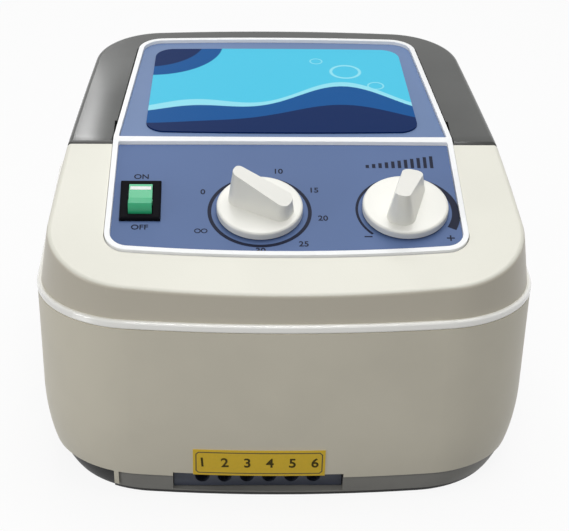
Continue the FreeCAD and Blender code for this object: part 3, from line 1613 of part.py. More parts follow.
nodes = {
    "lower_housing": make_lower_housing,
    "base_plate": make_base_plate,
    "upper_cover": make_upper_cover,
    "carry_handle": make_carry_handle,
    "handle_pins": make_handle_pins,
    "panel_frame": make_panel_frame,
    "control_overlay": make_control_overlay,
    "display_overlay": make_display_overlay,
    "display_plate": make_display_plate,
    "timer_knob": make_timer_knob,
    "timer_shaft": make_timer_shaft,
    "timer_body": make_timer_body,
    "timer_nut": make_timer_nut,
    "pressure_knob": make_pressure_knob,
    "regulator_spindle": make_regulator_spindle,
    "regulator_body": make_regulator_body,
    "regulator_nut": make_regulator_nut,
    "regulator_plunger": make_regulator_plunger,
    "regulator_spring": make_regulator_spring,
    "switch_housing": make_switch_housing,
    "switch_rocker": make_switch_rocker,
    "switch_terminals": make_switch_terminals,
    "outlet_block": make_outlet_block,
    "outlet_nipples": make_outlet_nipples,
    "port_tubes": make_port_tubes,
    "distributor_manifold": make_distributor_manifold,
    "distributor_lid": make_distributor_lid,
    "distributor_rotor": make_distributor_rotor,
    "motor_shaft": make_motor_shaft,
    "distributor_motor": make_distributor_motor,
    "motor_screws": make_motor_screws,
    "pump_isolators": make_pump_isolators,
    "pump_chassis": make_pump_chassis,
    "pump_cores": make_pump_cores,
    "pump_coils": make_pump_coils,
    "pump_armature": make_pump_armature,
    "pump_diaphragms": make_pump_diaphragms,
    "pump_heads": make_pump_heads,
    "pump_screws": make_pump_screws,
    "intake_filter": make_intake_filter,
    "three_way_fitting": make_three_way_fitting,
    "pump_tubes": make_pump_tubes,
    "supply_tube": make_supply_tube,
    "regulator_tube": make_regulator_tube,
    "mains_inlet": make_mains_inlet,
    "inlet_blades": make_inlet_blades,
    "fuse_holder": make_fuse_holder,
    "fuse": make_fuse,
    "terminal_block": make_terminal_block,
    "inlet_leads": make_inlet_leads,
    "switch_leads": make_switch_leads,
    "motor_leads": make_motor_leads,
    "case_screws": make_case_screws,
    "rubber_feet": make_rubber_feet,
    "strip_label": make_strip_label,
}

os.makedirs("parts", exist_ok=True)
for name, make in nodes.items():
    shape = make()
    shape.exportStep("parts/" + name + ".step")
    print(name, "solids", len(shape.Solids), "valid", shape.isValid(), "volume", round(shape.Volume))
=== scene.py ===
"""Looks of a table-top air compression pump: case, control panel, knobs, switch, outlets and insides."""
from __future__ import annotations

import logging
import math
from collections.abc import Callable, Sequence
from dataclasses import dataclass, field
from enum import Enum
from typing import TypeAlias

import bmesh
import bpy
from mathutils import Matrix, Vector

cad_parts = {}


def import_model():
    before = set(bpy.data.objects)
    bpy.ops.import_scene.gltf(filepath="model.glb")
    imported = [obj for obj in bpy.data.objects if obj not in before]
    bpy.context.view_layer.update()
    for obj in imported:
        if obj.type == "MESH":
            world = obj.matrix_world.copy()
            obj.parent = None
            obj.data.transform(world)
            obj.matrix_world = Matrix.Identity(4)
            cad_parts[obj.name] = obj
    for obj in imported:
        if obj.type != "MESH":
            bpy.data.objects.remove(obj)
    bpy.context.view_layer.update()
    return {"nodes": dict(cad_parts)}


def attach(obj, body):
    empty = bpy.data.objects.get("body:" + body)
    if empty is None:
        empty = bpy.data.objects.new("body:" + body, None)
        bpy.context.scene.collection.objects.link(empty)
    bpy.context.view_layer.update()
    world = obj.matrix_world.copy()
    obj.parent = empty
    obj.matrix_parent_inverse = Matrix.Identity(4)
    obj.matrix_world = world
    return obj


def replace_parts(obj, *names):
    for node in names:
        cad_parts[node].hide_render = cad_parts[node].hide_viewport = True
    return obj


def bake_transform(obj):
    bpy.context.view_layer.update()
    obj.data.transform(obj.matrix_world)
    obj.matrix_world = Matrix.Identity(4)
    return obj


log = logging.getLogger("pump")

MM = 0.001                          # one millimetre in metres
ROOF_FRONT_Y = -93.5                # where the sloping roof starts, in millimetres
ROOF_FRONT_Z = 90.0
PANEL_SLOPE = math.radians(18.4)
OVERLAY_FACE = -0.4                 # height of the overlay's face over the roof, in millimetres
INK_THICK = 0.06                    # thickness of the printed marks, in millimetres
TYPE_SIZE = 1.42                    # type size for a capital one unit high
TYPE_WEIGHT = 0.028                 # how far its strokes are thickened

Colour: TypeAlias = tuple[float, float, float]
Point: TypeAlias = tuple[float, float]
Socket: TypeAlias = bpy.types.NodeSocket
Nodes: TypeAlias = dict[str, bpy.types.Object]
Mesh: TypeAlias = bmesh.types.BMesh


class Body(Enum):
    """Bodies of the frame that the added pieces follow."""

    HOUSING = "housing"
    PLUNGER = "regulator_plunger"
    ROCKER = "power_rocker"


class Axis(Enum):
    """Directions along which a finish has its lines."""

    X = 0
    Y = 1
    Z = 2


# ---------------------------------------------------------------- shader helpers
class Value:
    """A number socket that can be used in sums."""

    def __init__(self, graph: Graph, socket: Socket) -> None:
        """Keeps the socket and the graph it is in."""
        self.graph = graph
        self.socket = socket

    def __add__(self, other: Operand) -> Value:
        """self + other."""
        return self.graph.maths("ADD", self, other)

    def __radd__(self, other: Operand) -> Value:
        """other + self."""
        return self.graph.maths("ADD", other, self)

    def __sub__(self, other: Operand) -> Value:
        """self - other."""
        return self.graph.maths("SUBTRACT", self, other)

    def __rsub__(self, other: Operand) -> Value:
        """other - self."""
        return self.graph.maths("SUBTRACT", other, self)

    def __mul__(self, other: Operand) -> Value:
        """self * other."""
        return self.graph.maths("MULTIPLY", self, other)

    def __rmul__(self, other: Operand) -> Value:
        """other * self."""
        return self.graph.maths("MULTIPLY", other, self)

    def __truediv__(self, other: Operand) -> Value:
        """self / other."""
        return self.graph.maths("DIVIDE", self, other)

    def __rtruediv__(self, other: Operand) -> Value:
        """other / self."""
        return self.graph.maths("DIVIDE", other, self)


Operand: TypeAlias = "Value | Socket | float"


class Graph:
    """Node graph of one material or world."""

    def __init__(self, owner: bpy.types.Material | bpy.types.World) -> None:
        """Empties the owner's node tree.

        Args:
            owner: the material or world to fill.
        """
        self.owner = owner
        owner.use_nodes = True
        self.tree = owner.node_tree
        self.tree.nodes.clear()

    @classmethod
    def material(cls, name: str) -> Graph:
        """Empty graph of a new material of that name."""
        return cls(bpy.data.materials.new(name))

    def node(self, kind: str, settings: dict[str, object], sockets: dict[object, object]) -> bpy.types.Node:
        """Adds a node.

        Args:
            kind: the node's type.
            settings: its own settings, set first.
            sockets: values or links of its inputs, by name or number; a colour has three parts.

        Returns:
            The new node.
        """
        made = self.tree.nodes.new(kind)
        for key, setting in settings.items():
            setattr(made, key, setting)
        for key, value in sockets.items():
            source = value.socket if isinstance(value, Value) else value
            if isinstance(source, bpy.types.NodeSocket):
                self.tree.links.new(source, made.inputs[key])
            elif made.inputs[key].type == "RGBA":
                made.inputs[key].default_value = (*source, 1.0)
            else:
                made.inputs[key].default_value = source
        return made

    def maths(self, operation: str, *values: Operand) -> Value:
        """Result of a Math node with that operation."""
        made = self.node("ShaderNodeMath", {"operation": operation}, dict(enumerate(values)))
        return Value(self, made.outputs[0])

    def point(self) -> Socket:
        """Place on the object, in metres."""
        return self.node("ShaderNodeTexCoord", {}, {}).outputs["Object"]

    def parts(self, vector: Socket) -> tuple[Value, ...]:
        """The three numbers of a vector."""
        made = self.node("ShaderNodeSeparateXYZ", {}, {0: vector})
        return tuple(Value(self, part) for part in made.outputs)

    def stretched(self, vector: Socket, scale: tuple[float, float, float]) -> Socket:
        """A place with its three numbers scaled."""
        return self.node("ShaderNodeVectorMath", {"operation": "MULTIPLY"}, {0: vector, 1: scale}).outputs[0]

    def noise(self, vector: Socket, scale: float, detail: float = 2.0) -> Value:
        """Noise between 0 and 1.

        Args:
            vector: where it is read.
            scale: waves per metre.
            detail: number of finer layers.

        Returns:
            The noise's strength.
        """
        sockets = {"Vector": vector, "Scale": scale, "Detail": detail, "Roughness": 0.55}
        return Value(self, self.node("ShaderNodeTexNoise", {}, sockets).outputs[0])

    def between(self, value: Operand, low: float, high: float) -> Value:
        """Smooth step.

        Args:
            value: the number that is tested.
            low: where the result is 0.
            high: where the result is 1.

        Returns:
            A mask from 0 to 1.
        """
        sockets = {"Value": value, "From Min": low, "From Max": high, "To Min": 0.0, "To Max": 1.0}
        made = self.node("ShaderNodeMapRange", {"interpolation_type": "SMOOTHSTEP", "clamp": True}, sockets)
        return Value(self, made.outputs[0])

    def above(self, value: Operand, soft: float) -> Value:
        """Mask of where a number is above zero, with an edge as soft as given."""
        return self.between(value, -soft, soft)

    def blend(self, mask: Operand, first: Colour | Socket, second: Colour | Socket) -> Socket:
        """Mixes two colours.

        Args:
            mask: 0 gives the first colour, 1 the second.
            first: a colour or a colour socket.
            second: a colour or a colour socket.

        Returns:
            The mixed colour.
        """
        settings = {"data_type": "RGBA", "clamp_factor": True}
        return self.node("ShaderNodeMix", settings, {0: mask, 6: first, 7: second}).outputs[2]

    def mixed(self, share: Operand, first: bpy.types.Node, second: bpy.types.Node) -> bpy.types.Node:
        """Mix of two shaders, where a share of 1 gives the second."""
        return self.node("ShaderNodeMixShader", {}, {0: share, 1: first.outputs[0], 2: second.outputs[0]})

    def bump(self, height: Operand, reach: float) -> Socket:
        """Bumps a surface.

        Args:
            height: the surface's height, in units of the reach.
            reach: that unit, in metres.

        Returns:
            The bent normal.
        """
        return self.node("ShaderNodeBump", {}, {"Height": height, "Distance": reach}).outputs[0]

    def surface(self, **sockets: object) -> bpy.types.Material:
        """Ends the graph in a Principled surface.

        Args:
            sockets: the shader's inputs, with underscores for blanks.

        Returns:
            The finished material.
        """
        named = {key.replace("_", " "): value for key, value in sockets.items()}
        shader = self.node("ShaderNodeBsdfPrincipled", {}, named)
        self.node("ShaderNodeOutputMaterial", {}, {"Surface": shader.outputs[0]})
        return self.owner


def shade(colour: Colour, factor: float) -> Colour:
    """The colour made lighter or darker."""
    return tuple(min(1.0, part * factor) for part in colour)


# ---------------------------------------------------------------- finishes
@dataclass(frozen=True)
class Finish:
    """Look of one material, with its main colour."""

    name: str
    colour: Colour

    def material(self) -> bpy.types.Material:
        """Builds the material."""
        raise NotImplementedError

    def start(self) -> tuple[Graph, Socket]:
        """Graph of the new material, with the place on the object."""
        graph = Graph.material(self.name)
        return graph, graph.point()

    def ready(self) -> bpy.types.Material:
        """The material, built on its first use."""
        return bpy.data.materials.get(self.name) or self.material()

    def tones(self, graph: Graph, mask: Operand, low: float, high: float) -> Socket:
        """Mixes two shades of the main colour.

        Args:
            graph: the graph in hand.
            mask: 0 gives the first shade, 1 the second.
            low: factor of the first shade.
            high: factor of the second shade.

        Returns:
            The mixed colour.
        """
        return graph.blend(mask, shade(self.colour, low), shade(self.colour, high))

    @staticmethod
    def scuffs(graph: Graph, point: Socket) -> Value:
        """Mask of faint upright scuffs."""
        return graph.between(graph.noise(graph.stretched(point, (1.0, 1.0, 0.25)), 240.0, 4.0), 0.66, 0.78)


@dataclass(frozen=True)
class MouldedPlastic(Finish):
    """Injection-moulded plastic with a fine texture and soft unevenness."""

    roughness: float = 0.42
    grain: float = 0.00003
    grain_scale: float = 1500.0
    unevenness: float = 0.03
    coat: float = 0.0
    gloss: float = 0.5

    def material(self) -> bpy.types.Material:
        """Builds the material.

        Returns:
            The material.
        """
        graph, point = self.start()
        cloud = graph.noise(point, 22.0, 3.0)
        scuff = self.scuffs(graph, point)
        tone = self.tones(graph, graph.between(cloud, 0.3, 0.7), 1.0 - self.unevenness, 1.0 + self.unevenness)
        worn = graph.blend(scuff * 0.12, tone, shade(self.colour, 1.15))
        rough = self.roughness + (cloud - 0.5) * 0.12 + scuff * 0.08
        relief = graph.bump(graph.noise(point, self.grain_scale), self.grain)
        return graph.surface(Base_Color=worn, Roughness=rough, Normal=relief, Coat_Weight=self.coat,
                             Coat_Roughness=0.12, Specular_IOR_Level=self.gloss)


@dataclass(frozen=True)
class CoverPlastic(Finish):
    """Cream plastic of the cover, with painted shade on its upright walls and a glossy ledge along its lower
    edge that carries a painted highlight.
    """

    # painted shade: darker, warmer colour given to the walls that face sideways
    wall: Colour
    # painted highlight: lighter colour of the glossy ledge along the lower edge
    bead_highlight: Colour
    bead_top: float
    bead_slope: float = 0.5
    bead_edge: float = 0.0001
    roughness: float = 0.38
    grain: float = 0.00002
    coat: float = 0.04
    dust: Colour = (0.6, 0.58, 0.5)

    def material(self) -> bpy.types.Material:
        """Builds the material.

        Returns:
            The material.
        """
        graph, point = self.start()
        height = graph.parts(point)[2]
        cloud = graph.noise(point, 22.0, 3.0)
        scuff = self.scuffs(graph, point)
        facing = graph.parts(graph.node("ShaderNodeNewGeometry", {}, {}).outputs["Normal"])[2]
        # painted shade: the upright walls take the darker wall colour, by how far their normal turns away
        # from up
        side = graph.blend(graph.between(facing, 0.75, 0.25), self.colour, self.wall)
        tone = graph.blend(graph.between(cloud, 0.3, 0.7) * 0.04, side, self.dust)
        worn = graph.blend(scuff * 0.1, tone, shade(self.colour, 1.12))
        # painted highlight: the ledge below bead_top takes the lighter colour; it is also glossier and
        # slanted by bump
        bead_highlight = graph.above(self.bead_top - height, self.bead_edge)
        rough = self.roughness + (cloud - 0.5) * 0.1 + scuff * 0.08 - bead_highlight * 0.16
        slant = bead_highlight * (self.bead_top - height) * self.bead_slope
        relief = graph.bump(graph.noise(point, 1500.0) * self.grain + slant, 1.0)
        gloss = self.coat + bead_highlight * (1.0 - self.coat)
        return graph.surface(Base_Color=graph.blend(bead_highlight, worn, self.bead_highlight), Roughness=rough, Normal=relief,
                             Coat_Weight=gloss, Coat_Roughness=0.12, Coat_IOR=1.9)


@dataclass(frozen=True)
class BasePlastic(Finish):
    """Dark textured plastic of the base, with painted black shadow along its foot and in its front left
    corner.
    """

    # painted shadow colour, used for the front left corner and along the foot
    notch: Colour
    shadow_right: float
    shadow_rear: float
    foot_shadow_top: float
    edge: float = 0.0001

    def material(self) -> bpy.types.Material:
        """Builds the material.

        Returns:
            The material.
        """
        graph, point = self.start()
        x, y, z = graph.parts(point)
        # painted shadow: black in the front left corner and along the foot, where shade falls
        corner = graph.above(self.shadow_right - x, self.edge) * graph.above(self.shadow_rear - y, self.edge)
        black = graph.maths("MAXIMUM", corner, graph.above(self.foot_shadow_top - z, 2 * self.edge))
        cloud = graph.noise(point, 25.0, 3.0)
        tone = self.tones(graph, graph.between(cloud, 0.3, 0.7), 0.9, 1.12)
        rough = 0.5 + (cloud - 0.5) * 0.14
        relief = graph.bump(graph.noise(point, 1100.0), 0.00005)
        return graph.surface(Base_Color=graph.blend(black, tone, self.notch), Roughness=rough, Normal=relief,
                             Specular_IOR_Level=0.3)


@dataclass(frozen=True)
class PolishedHandle(Finish):
    """Dark glossy plastic, slightly crowned across each arm, with faint hand scratches."""

    arm_middle: float
    arm_half: float = 0.011
    arm_drift: float = 0.085
    crown: float = 0.0005
    bar_front: float = 0.045
    bar_soft: float = 0.02

    def material(self) -> bpy.types.Material:
        """Builds the material.

        Returns:
            The material.
        """
        graph, point = self.start()
        x, y, _ = graph.parts(point)
        cloud = graph.noise(point, 30.0, 3.0)
        scratch = graph.between(graph.noise(graph.stretched(point, (1400.0, 50.0, 1400.0)), 1.0), 0.66, 0.8)
        tone = self.tones(graph, graph.between(cloud, 0.35, 0.65), 0.94, 1.08)
        colour = graph.blend(scratch * 0.05, tone, shade(self.colour, 1.5))
        rough = 0.22 + (cloud - 0.5) * 0.04 + scratch * 0.02
        off = (graph.maths("ABSOLUTE", x) + y * self.arm_drift - self.arm_middle) / self.arm_half
        on_arm = graph.above(self.bar_front - y, self.bar_soft)
        crowned = graph.bump(off * off * on_arm * -1.0, self.crown)
        return graph.surface(Base_Color=colour, Roughness=rough, Normal=crowned, Specular_IOR_Level=0.4)


@dataclass(frozen=True)
class PrintedFilm(Finish):
    """Coloured polycarbonate film with a fine embossed texture."""

    roughness: float = 0.38

    def material(self) -> bpy.types.Material:
        """Builds the material.

        Returns:
            The material.
        """
        graph, point = self.start()
        emboss = graph.noise(point, 2600.0, 1.0)
        speck = graph.between(graph.noise(point, 1300.0, 1.0), 0.7, 0.76)
        tone = self.tones(graph, graph.between(graph.noise(point, 14.0), 0.3, 0.7), 0.97, 1.05)
        colour = graph.blend(speck * 0.1, tone, shade(self.colour, 1.4))
        return graph.surface(Base_Color=colour, Roughness=self.roughness + (emboss - 0.5) * 0.16,
                             Normal=graph.bump(emboss, 0.000006), Specular_IOR_Level=0.12)


@dataclass(frozen=True)
class Wave:
    """One layer of the wave artwork: its parts of the two swells, how low it lies and its colour."""

    ripple: float
    swell: float
    depth: float
    colour: Colour


@dataclass(frozen=True)
class Disc:
    """Round shape of the artwork, in shares of the plate's half size."""

    centre: Point
    radius: float
    colour: Colour


FOAM = (0.3, 0.76, 0.88)
SHALLOW = (0.006, 0.09, 0.3)
DEEP = (0.002, 0.02, 0.1)


@dataclass(frozen=True)
class WavePrint(Finish):
    """Plain wave artwork: layered waves below, a quarter disc above and three bubbles."""

    middle: Point
    half: Point
    swell: Point = (2.6, 0.5)
    ripple: Point = (5.3, -1.1)
    waves: tuple[Wave, ...] = (Wave(0.15, 0.22, 0.2, FOAM), Wave(0.13, 0.24, 0.3, SHALLOW),
                               Wave(0.05, 0.2, 0.62, DEEP))
    discs: tuple[Disc, ...] = (Disc((-1.0, 1.1), 0.78, SHALLOW), Disc((-1.06, 1.18), 0.66, DEEP))
    bubbles: tuple[Disc, ...] = (Disc((0.52, 0.42), 0.17, FOAM), Disc((0.74, 0.08), 0.09, FOAM),
                                 Disc((0.3, 0.68), 0.07, FOAM))
    bubble_bore: float = 0.82
    edge: float = 0.008

    def material(self) -> bpy.types.Material:
        """Builds the material.

        Returns:
            The material.
        """
        graph, point = self.start()
        x, y, _ = graph.parts(point)
        across = (x - self.middle[0]) / self.half[0]
        up = (y - self.middle[1]) / self.half[1]
        swell, ripple = (graph.maths("SINE", across * pace + start)
                         for pace, start in (self.swell, self.ripple))
        colour = self.colour
        for wave in self.waves:
            line = ripple * wave.ripple + swell * wave.swell - wave.depth
            colour = graph.blend(graph.above(line - up, self.edge), colour, wave.colour)
        for disc in self.discs:
            colour = graph.blend(self.inside(graph, across, up, disc, 1.0), colour, disc.colour)
        for bubble in self.bubbles:
            whole, bore = (self.inside(graph, across, up, bubble, share) for share in (1.0, self.bubble_bore))
            colour = graph.blend(whole - bore, colour, bubble.colour)
        rough = 0.3 + graph.noise(point, 160.0, 3.0) * 0.08
        return graph.surface(Base_Color=colour, Roughness=rough, Specular_IOR_Level=0.03)

    def inside(self, graph: Graph, across: Value, up: Value, disc: Disc, share: float) -> Value:
        """Mask of what lies inside a disc.

        Args:
            graph: the graph in hand.
            across: the place's share of the half width.
            up: the place's share of the half height.
            disc: the disc.
            share: share of its radius that counts.

        Returns:
            The mask.
        """
        side = (across - disc.centre[0]) * (self.half[0] / self.half[1])
        rise = up - disc.centre[1]
        return graph.above(disc.radius * share - graph.maths("SQRT", side * side + rise * rise), self.edge)


@dataclass(frozen=True)
class LitLens(Finish):
    """Translucent switch cap with a lamp behind it."""

    glow: Colour
    middle_y: float
    fade_front: float = 0.009
    fade_rear: float = 0.004

    def material(self) -> bpy.types.Material:
        """Builds the material.

        Returns:
            The material.
        """
        graph, point = self.start()
        cloud = graph.noise(point, 300.0)
        fade = graph.between(graph.parts(point)[1] - self.middle_y, -self.fade_front, self.fade_rear)
        glow = graph.blend(fade, self.glow, shade(self.glow, 0.7))
        return graph.surface(Base_Color=self.tones(graph, cloud, 0.9, 1.1), Roughness=0.26 + cloud * 0.08,
                             Emission_Color=glow, Emission_Strength=0.55, Specular_IOR_Level=0.02)


@dataclass(frozen=True)
class WorkedMetal(Finish):
    """Metal with fine tool marks along one direction and dull patches."""

    roughness: float = 0.32
    lines: Axis = Axis.Z
    line_scale: float = 1800.0

    def material(self) -> bpy.types.Material:
        """Builds the material.

        Returns:
            The material.
        """
        graph, point = self.start()
        scale = [self.line_scale * 0.02] * 3
        scale[self.lines.value] = self.line_scale
        marks = graph.noise(graph.stretched(point, tuple(scale)), 1.0, 3.0)
        dull = graph.between(graph.noise(point, 90.0, 3.0), 0.45, 0.7)
        rough = self.roughness + dull * 0.12 + (marks - 0.5) * 0.2
        return graph.surface(Base_Color=self.tones(graph, dull, 1.05, 0.82), Metallic=1.0, Roughness=rough,
                             Normal=graph.bump(marks, 0.00002))


@dataclass(frozen=True)
class Striped(Finish):
    """Thin layers or windings: stripes across one direction, with a groove between them."""

    gap: Colour
    pitch: float
    across: Axis
    metallic: float = 0.0
    roughness: float = 0.45

    def material(self) -> bpy.types.Material:
        """Builds the material.

        Returns:
            The material.
        """
        graph, point = self.start()
        along = graph.parts(point)[self.across.value]
        wobble = graph.noise(point, 120.0) * (self.pitch * 0.4)
        wave = graph.maths("SINE", (along + wobble) * (2 * math.pi / self.pitch)) * 0.5 + 0.5
        tint = graph.noise(point, 60.0)
        colour = graph.blend(graph.between(wave, 0.1, 0.5), self.gap, self.tones(graph, tint, 0.85, 1.15))
        return graph.surface(Base_Color=colour, Metallic=self.metallic, Roughness=self.roughness + tint * 0.1,
                             Normal=graph.bump(wave, self.pitch * 0.3))


@dataclass(frozen=True)
class SoftRubber(Finish):
    """Rubber, silicone or wire insulation with bloom and dust."""

    roughness: float = 0.6
    bloom: float = 0.25

    def material(self) -> bpy.types.Material:
        """Builds the material.

        Returns:
            The material.
        """
        graph, point = self.start()
        fine = graph.noise(point, 1100.0)
        haze = graph.between(graph.noise(point, 70.0, 3.0), 0.4, 0.75) * self.bloom
        rough = self.roughness + (fine - 0.5) * 0.15
        return graph.surface(Base_Color=self.tones(graph, haze, 1.0, 1.6), Roughness=rough,
                             Normal=graph.bump(fine, 0.00004))


@dataclass(frozen=True)
class Felt(Finish):
    """Pressed fibres."""

    def material(self) -> bpy.types.Material:
        """Builds the material.

        Returns:
            The material.
        """
        graph, point = self.start()
        fibre = graph.noise(graph.stretched(point, (900.0, 2600.0, 1400.0)), 1.0, 4.0)
        return graph.surface(Base_Color=self.tones(graph, fibre, 0.7, 1.1), Roughness=0.95,
                             Normal=graph.bump(fibre, 0.0003))


@dataclass(frozen=True)
class ClearGlass(Finish):
    """Glass tube of a fuse with a slight smoky tint."""

    def material(self) -> bpy.types.Material:
        """Builds the material.

        Returns:
            The material.
        """
        graph, point = self.start()
        smoke = graph.noise(point, 200.0)
        return graph.surface(Base_Color=self.tones(graph, smoke, 0.9, 1.0), Roughness=0.05 + smoke * 0.05,
                             Alpha=0.4 + smoke * 0.2)


@dataclass(frozen=True)
class StripPrint(Finish):
    """Label film with a thin dark frame near its edge."""

    ink: Colour
    middle: Point
    half: Point
    line: Point = (0.0009, 0.00135)
    notch: float = 0.0016
    edge: float = 0.00008

    def material(self) -> bpy.types.Material:
        """Builds the material.

        Returns:
            The material.
        """
        graph, point = self.start()
        x, _, z = graph.parts(point)
        side = self.half[0] - graph.maths("ABSOLUTE", x - self.middle[0])
        rise = self.half[1] - graph.maths("ABSOLUTE", z - self.middle[1])
        cut = (side + rise - self.notch) * 0.7
        inset = graph.maths("MINIMUM", graph.maths("MINIMUM", side, rise), cut)
        outer, inner = (graph.between(inset, start, start + self.edge) for start in self.line)
        paper = graph.noise(point, 700.0)
        colour = graph.blend(outer - inner, self.tones(graph, paper, 0.93, 1.06), self.ink)
        return graph.surface(Base_Color=colour, Roughness=0.4 + paper * 0.1,
                             Normal=graph.bump(paper, 0.00001))


@dataclass(frozen=True)
class Ink(Finish):
    """Screen-printed ink, slightly uneven; also used for the painted highlight bar on the rocker."""

    def material(self) -> bpy.types.Material:
        """Builds the material.

        Returns:
            The material.
        """
        graph, point = self.start()
        cover = graph.noise(point, 1500.0)
        return graph.surface(Base_Color=self.tones(graph, cover, 0.8, 1.3), Roughness=0.5 + cover * 0.1,
                             Specular_IOR_Level=0.15)


# cream cover: the wall colour is painted shade on its upright walls, and the ledge colour is a painted
# highlight
CREAM = CoverPlastic("cream_cover", (0.78, 0.77, 0.675), wall=(0.62, 0.575, 0.47), bead_highlight=(0.97, 0.965, 0.91),
                     bead_top=0.0782)
WARM_CREAM = MouldedPlastic("cream_tub", (0.78, 0.735, 0.605), gloss=0.3)
# base: the black colour is painted shadow along the foot and in the front left corner
BASE_GREY = BasePlastic("base_grey", (0.27, 0.265, 0.245), notch=(0.006, 0.006, 0.006), shadow_right=-0.0655,
                        shadow_rear=-0.052, foot_shadow_top=0.002)
HANDLE_GREY = PolishedHandle("handle_grey", (0.051, 0.053, 0.049), arm_middle=0.0735)
RIM_WHITE = MouldedPlastic("rim_white", (0.93, 0.94, 0.94), roughness=0.28, grain=0.00001, gloss=0.3)
BLUE_FILM = PrintedFilm("blue_film", (0.105, 0.165, 0.33))
PALE_FILM = PrintedFilm("pale_film", (0.15, 0.225, 0.4))
WAVE_PRINT = WavePrint("wave_print", (0.085, 0.58, 0.8), middle=(0.0, 0.033), half=(0.054, 0.0392))
KNOB_IVORY = MouldedPlastic("knob_ivory", (0.84, 0.835, 0.775), roughness=0.33, grain=0.00002, coat=0.2)
BLACK_CASE = MouldedPlastic("black_case", (0.006, 0.006, 0.008), roughness=0.5, grain=0.00002, gloss=0.02)
GREEN_LENS = LitLens("green_lens", (0.01, 0.34, 0.13), glow=(0.01, 0.62, 0.2), middle_y=-0.0437)
PORT_BLUE = MouldedPlastic("port_blue", (0.06, 0.07, 0.1))
WHITE_NYLON = MouldedPlastic("white_nylon", (0.75, 0.75, 0.72), roughness=0.5)
BRIGHT_STEEL = WorkedMetal("bright_steel", (0.62, 0.62, 0.63), roughness=0.26)
ZINC = WorkedMetal("zinc_plate", (0.6, 0.62, 0.66), roughness=0.38, lines=Axis.X, line_scale=900.0)
BRASS = WorkedMetal("turned_brass", (0.72, 0.52, 0.2), roughness=0.3)
CORE_LAYERS = Striped("core_layers", (0.3, 0.29, 0.28), gap=(0.04, 0.04, 0.04), pitch=0.0008, across=Axis.Z,
                      metallic=0.8)
COIL_WIRE = Striped("coil_wire", (0.5, 0.2, 0.07), gap=(0.12, 0.04, 0.02), pitch=0.0009, across=Axis.Y,
                    metallic=0.5, roughness=0.35)
CLEAR_HOSE = SoftRubber("clear_hose", (0.6, 0.62, 0.6), roughness=0.35, bloom=0.15)
BLACK_RUBBER = SoftRubber("black_rubber", (0.02, 0.02, 0.02), roughness=0.7)
BROWN_LEAD = SoftRubber("brown_lead", (0.12, 0.045, 0.02), roughness=0.45, bloom=0.1)
FILTER_FELT = Felt("filter_felt", (0.7, 0.68, 0.6))
FUSE_GLASS = ClearGlass("fuse_glass", (0.8, 0.84, 0.82))
NAVY_INK = Ink("navy_ink", (0.004, 0.007, 0.024))
# painted highlight: white for the bar near the rocker's upper edge
HIGHLIGHT_INK = Ink("highlight_paint", (0.9, 0.95, 0.92))
LABEL_INK = Ink("label_ink", (0.06, 0.045, 0.006))
LABEL_YELLOW = (0.82, 0.55, 0.025)


# ---------------------------------------------------------------- mesh helpers
def panel_matrix(x: float, s: float, n: float = OVERLAY_FACE) -> Matrix:
    """Place on the control panel.

    Args:
        x: across, in millimetres.
        s: up the slope from its front edge, in millimetres.
        n: out of the roof, in millimetres.

    Returns:
        The matrix of that place, in metres.
    """
    y = ROOF_FRONT_Y + s * math.cos(PANEL_SLOPE) - n * math.sin(PANEL_SLOPE)
    z = ROOF_FRONT_Z + s * math.sin(PANEL_SLOPE) + n * math.cos(PANEL_SLOPE)
    return Matrix.Translation(Vector((x, y, z)) * MM) @ Matrix.Rotation(PANEL_SLOPE, 4, "X")


@dataclass
class Piece:
    """A new mesh piece that rides on a body, or that is left fixed in place when it has a far body and a
    span.
    """

    name: str
    body: Body
    slot: str
    finish: Finish
    matrix: Matrix = field(default_factory=Matrix)
    far_body: Body | None = None
    span: tuple[Vector, Vector] | None = None

    def build(self, shape: Callable[[Mesh], None]) -> bpy.types.Object:
        """Makes the piece from a mesh-drawing function.

        Args:
            shape: draws the mesh in millimetres, in the piece's own frame.

        Returns:
            The new object.
        """
        mesh = bmesh.new()
        shape(mesh)
        bmesh.ops.transform(mesh, matrix=self.matrix @ Matrix.Scale(MM, 4), verts=mesh.verts)
        bmesh.ops.recalc_face_normals(mesh, faces=mesh.faces)
        data = bpy.data.meshes.new(self.name)
        mesh.to_mesh(data)
        mesh.free()
        return self.place(data)

    def place(self, data: bpy.types.Mesh) -> bpy.types.Object:
        """Puts a finished mesh into the scene.

        Args:
            data: the mesh, in metres.

        Returns:
            The new object.
        """
        made = bpy.data.objects.new(self.name, data)
        bpy.context.scene.collection.objects.link(made)
        data.materials.clear()
        data.materials.append(self.finish.ready())
        if self.far_body and self.span:
            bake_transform(made)
        else:
            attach(made, self.body.value)
        log.info("piece %s on %s", self.name, self.body.value)
        return made

    def write(self, words: str, size: float, thick: float = INK_THICK) -> bpy.types.Object:
        """Makes the piece from upright figures.

        Args:
            words: the figures.
            size: height of a capital, in millimetres.
            thick: thickness of the ink, in millimetres.

        Returns:
            The new object.
        """
        curve = bpy.data.curves.new(self.name, "FONT")
        curve.body = words
        curve.align_x = "CENTER"
        curve.align_y = "CENTER"
        curve.size = size * TYPE_SIZE
        curve.extrude = thick / 2
        curve.offset = size * TYPE_WEIGHT
        drawn = bpy.data.objects.new(self.name + "_draft", curve)
        bpy.context.scene.collection.objects.link(drawn)
        bpy.context.view_layer.update()
        data = bpy.data.meshes.new_from_object(drawn.evaluated_get(bpy.context.evaluated_depsgraph_get()))
        bpy.data.objects.remove(drawn)
        data.name = self.name
        data.transform(self.matrix @ Matrix.Translation((0, 0, thick / 2 * MM)) @ Matrix.Scale(MM, 4))
        return self.place(data)


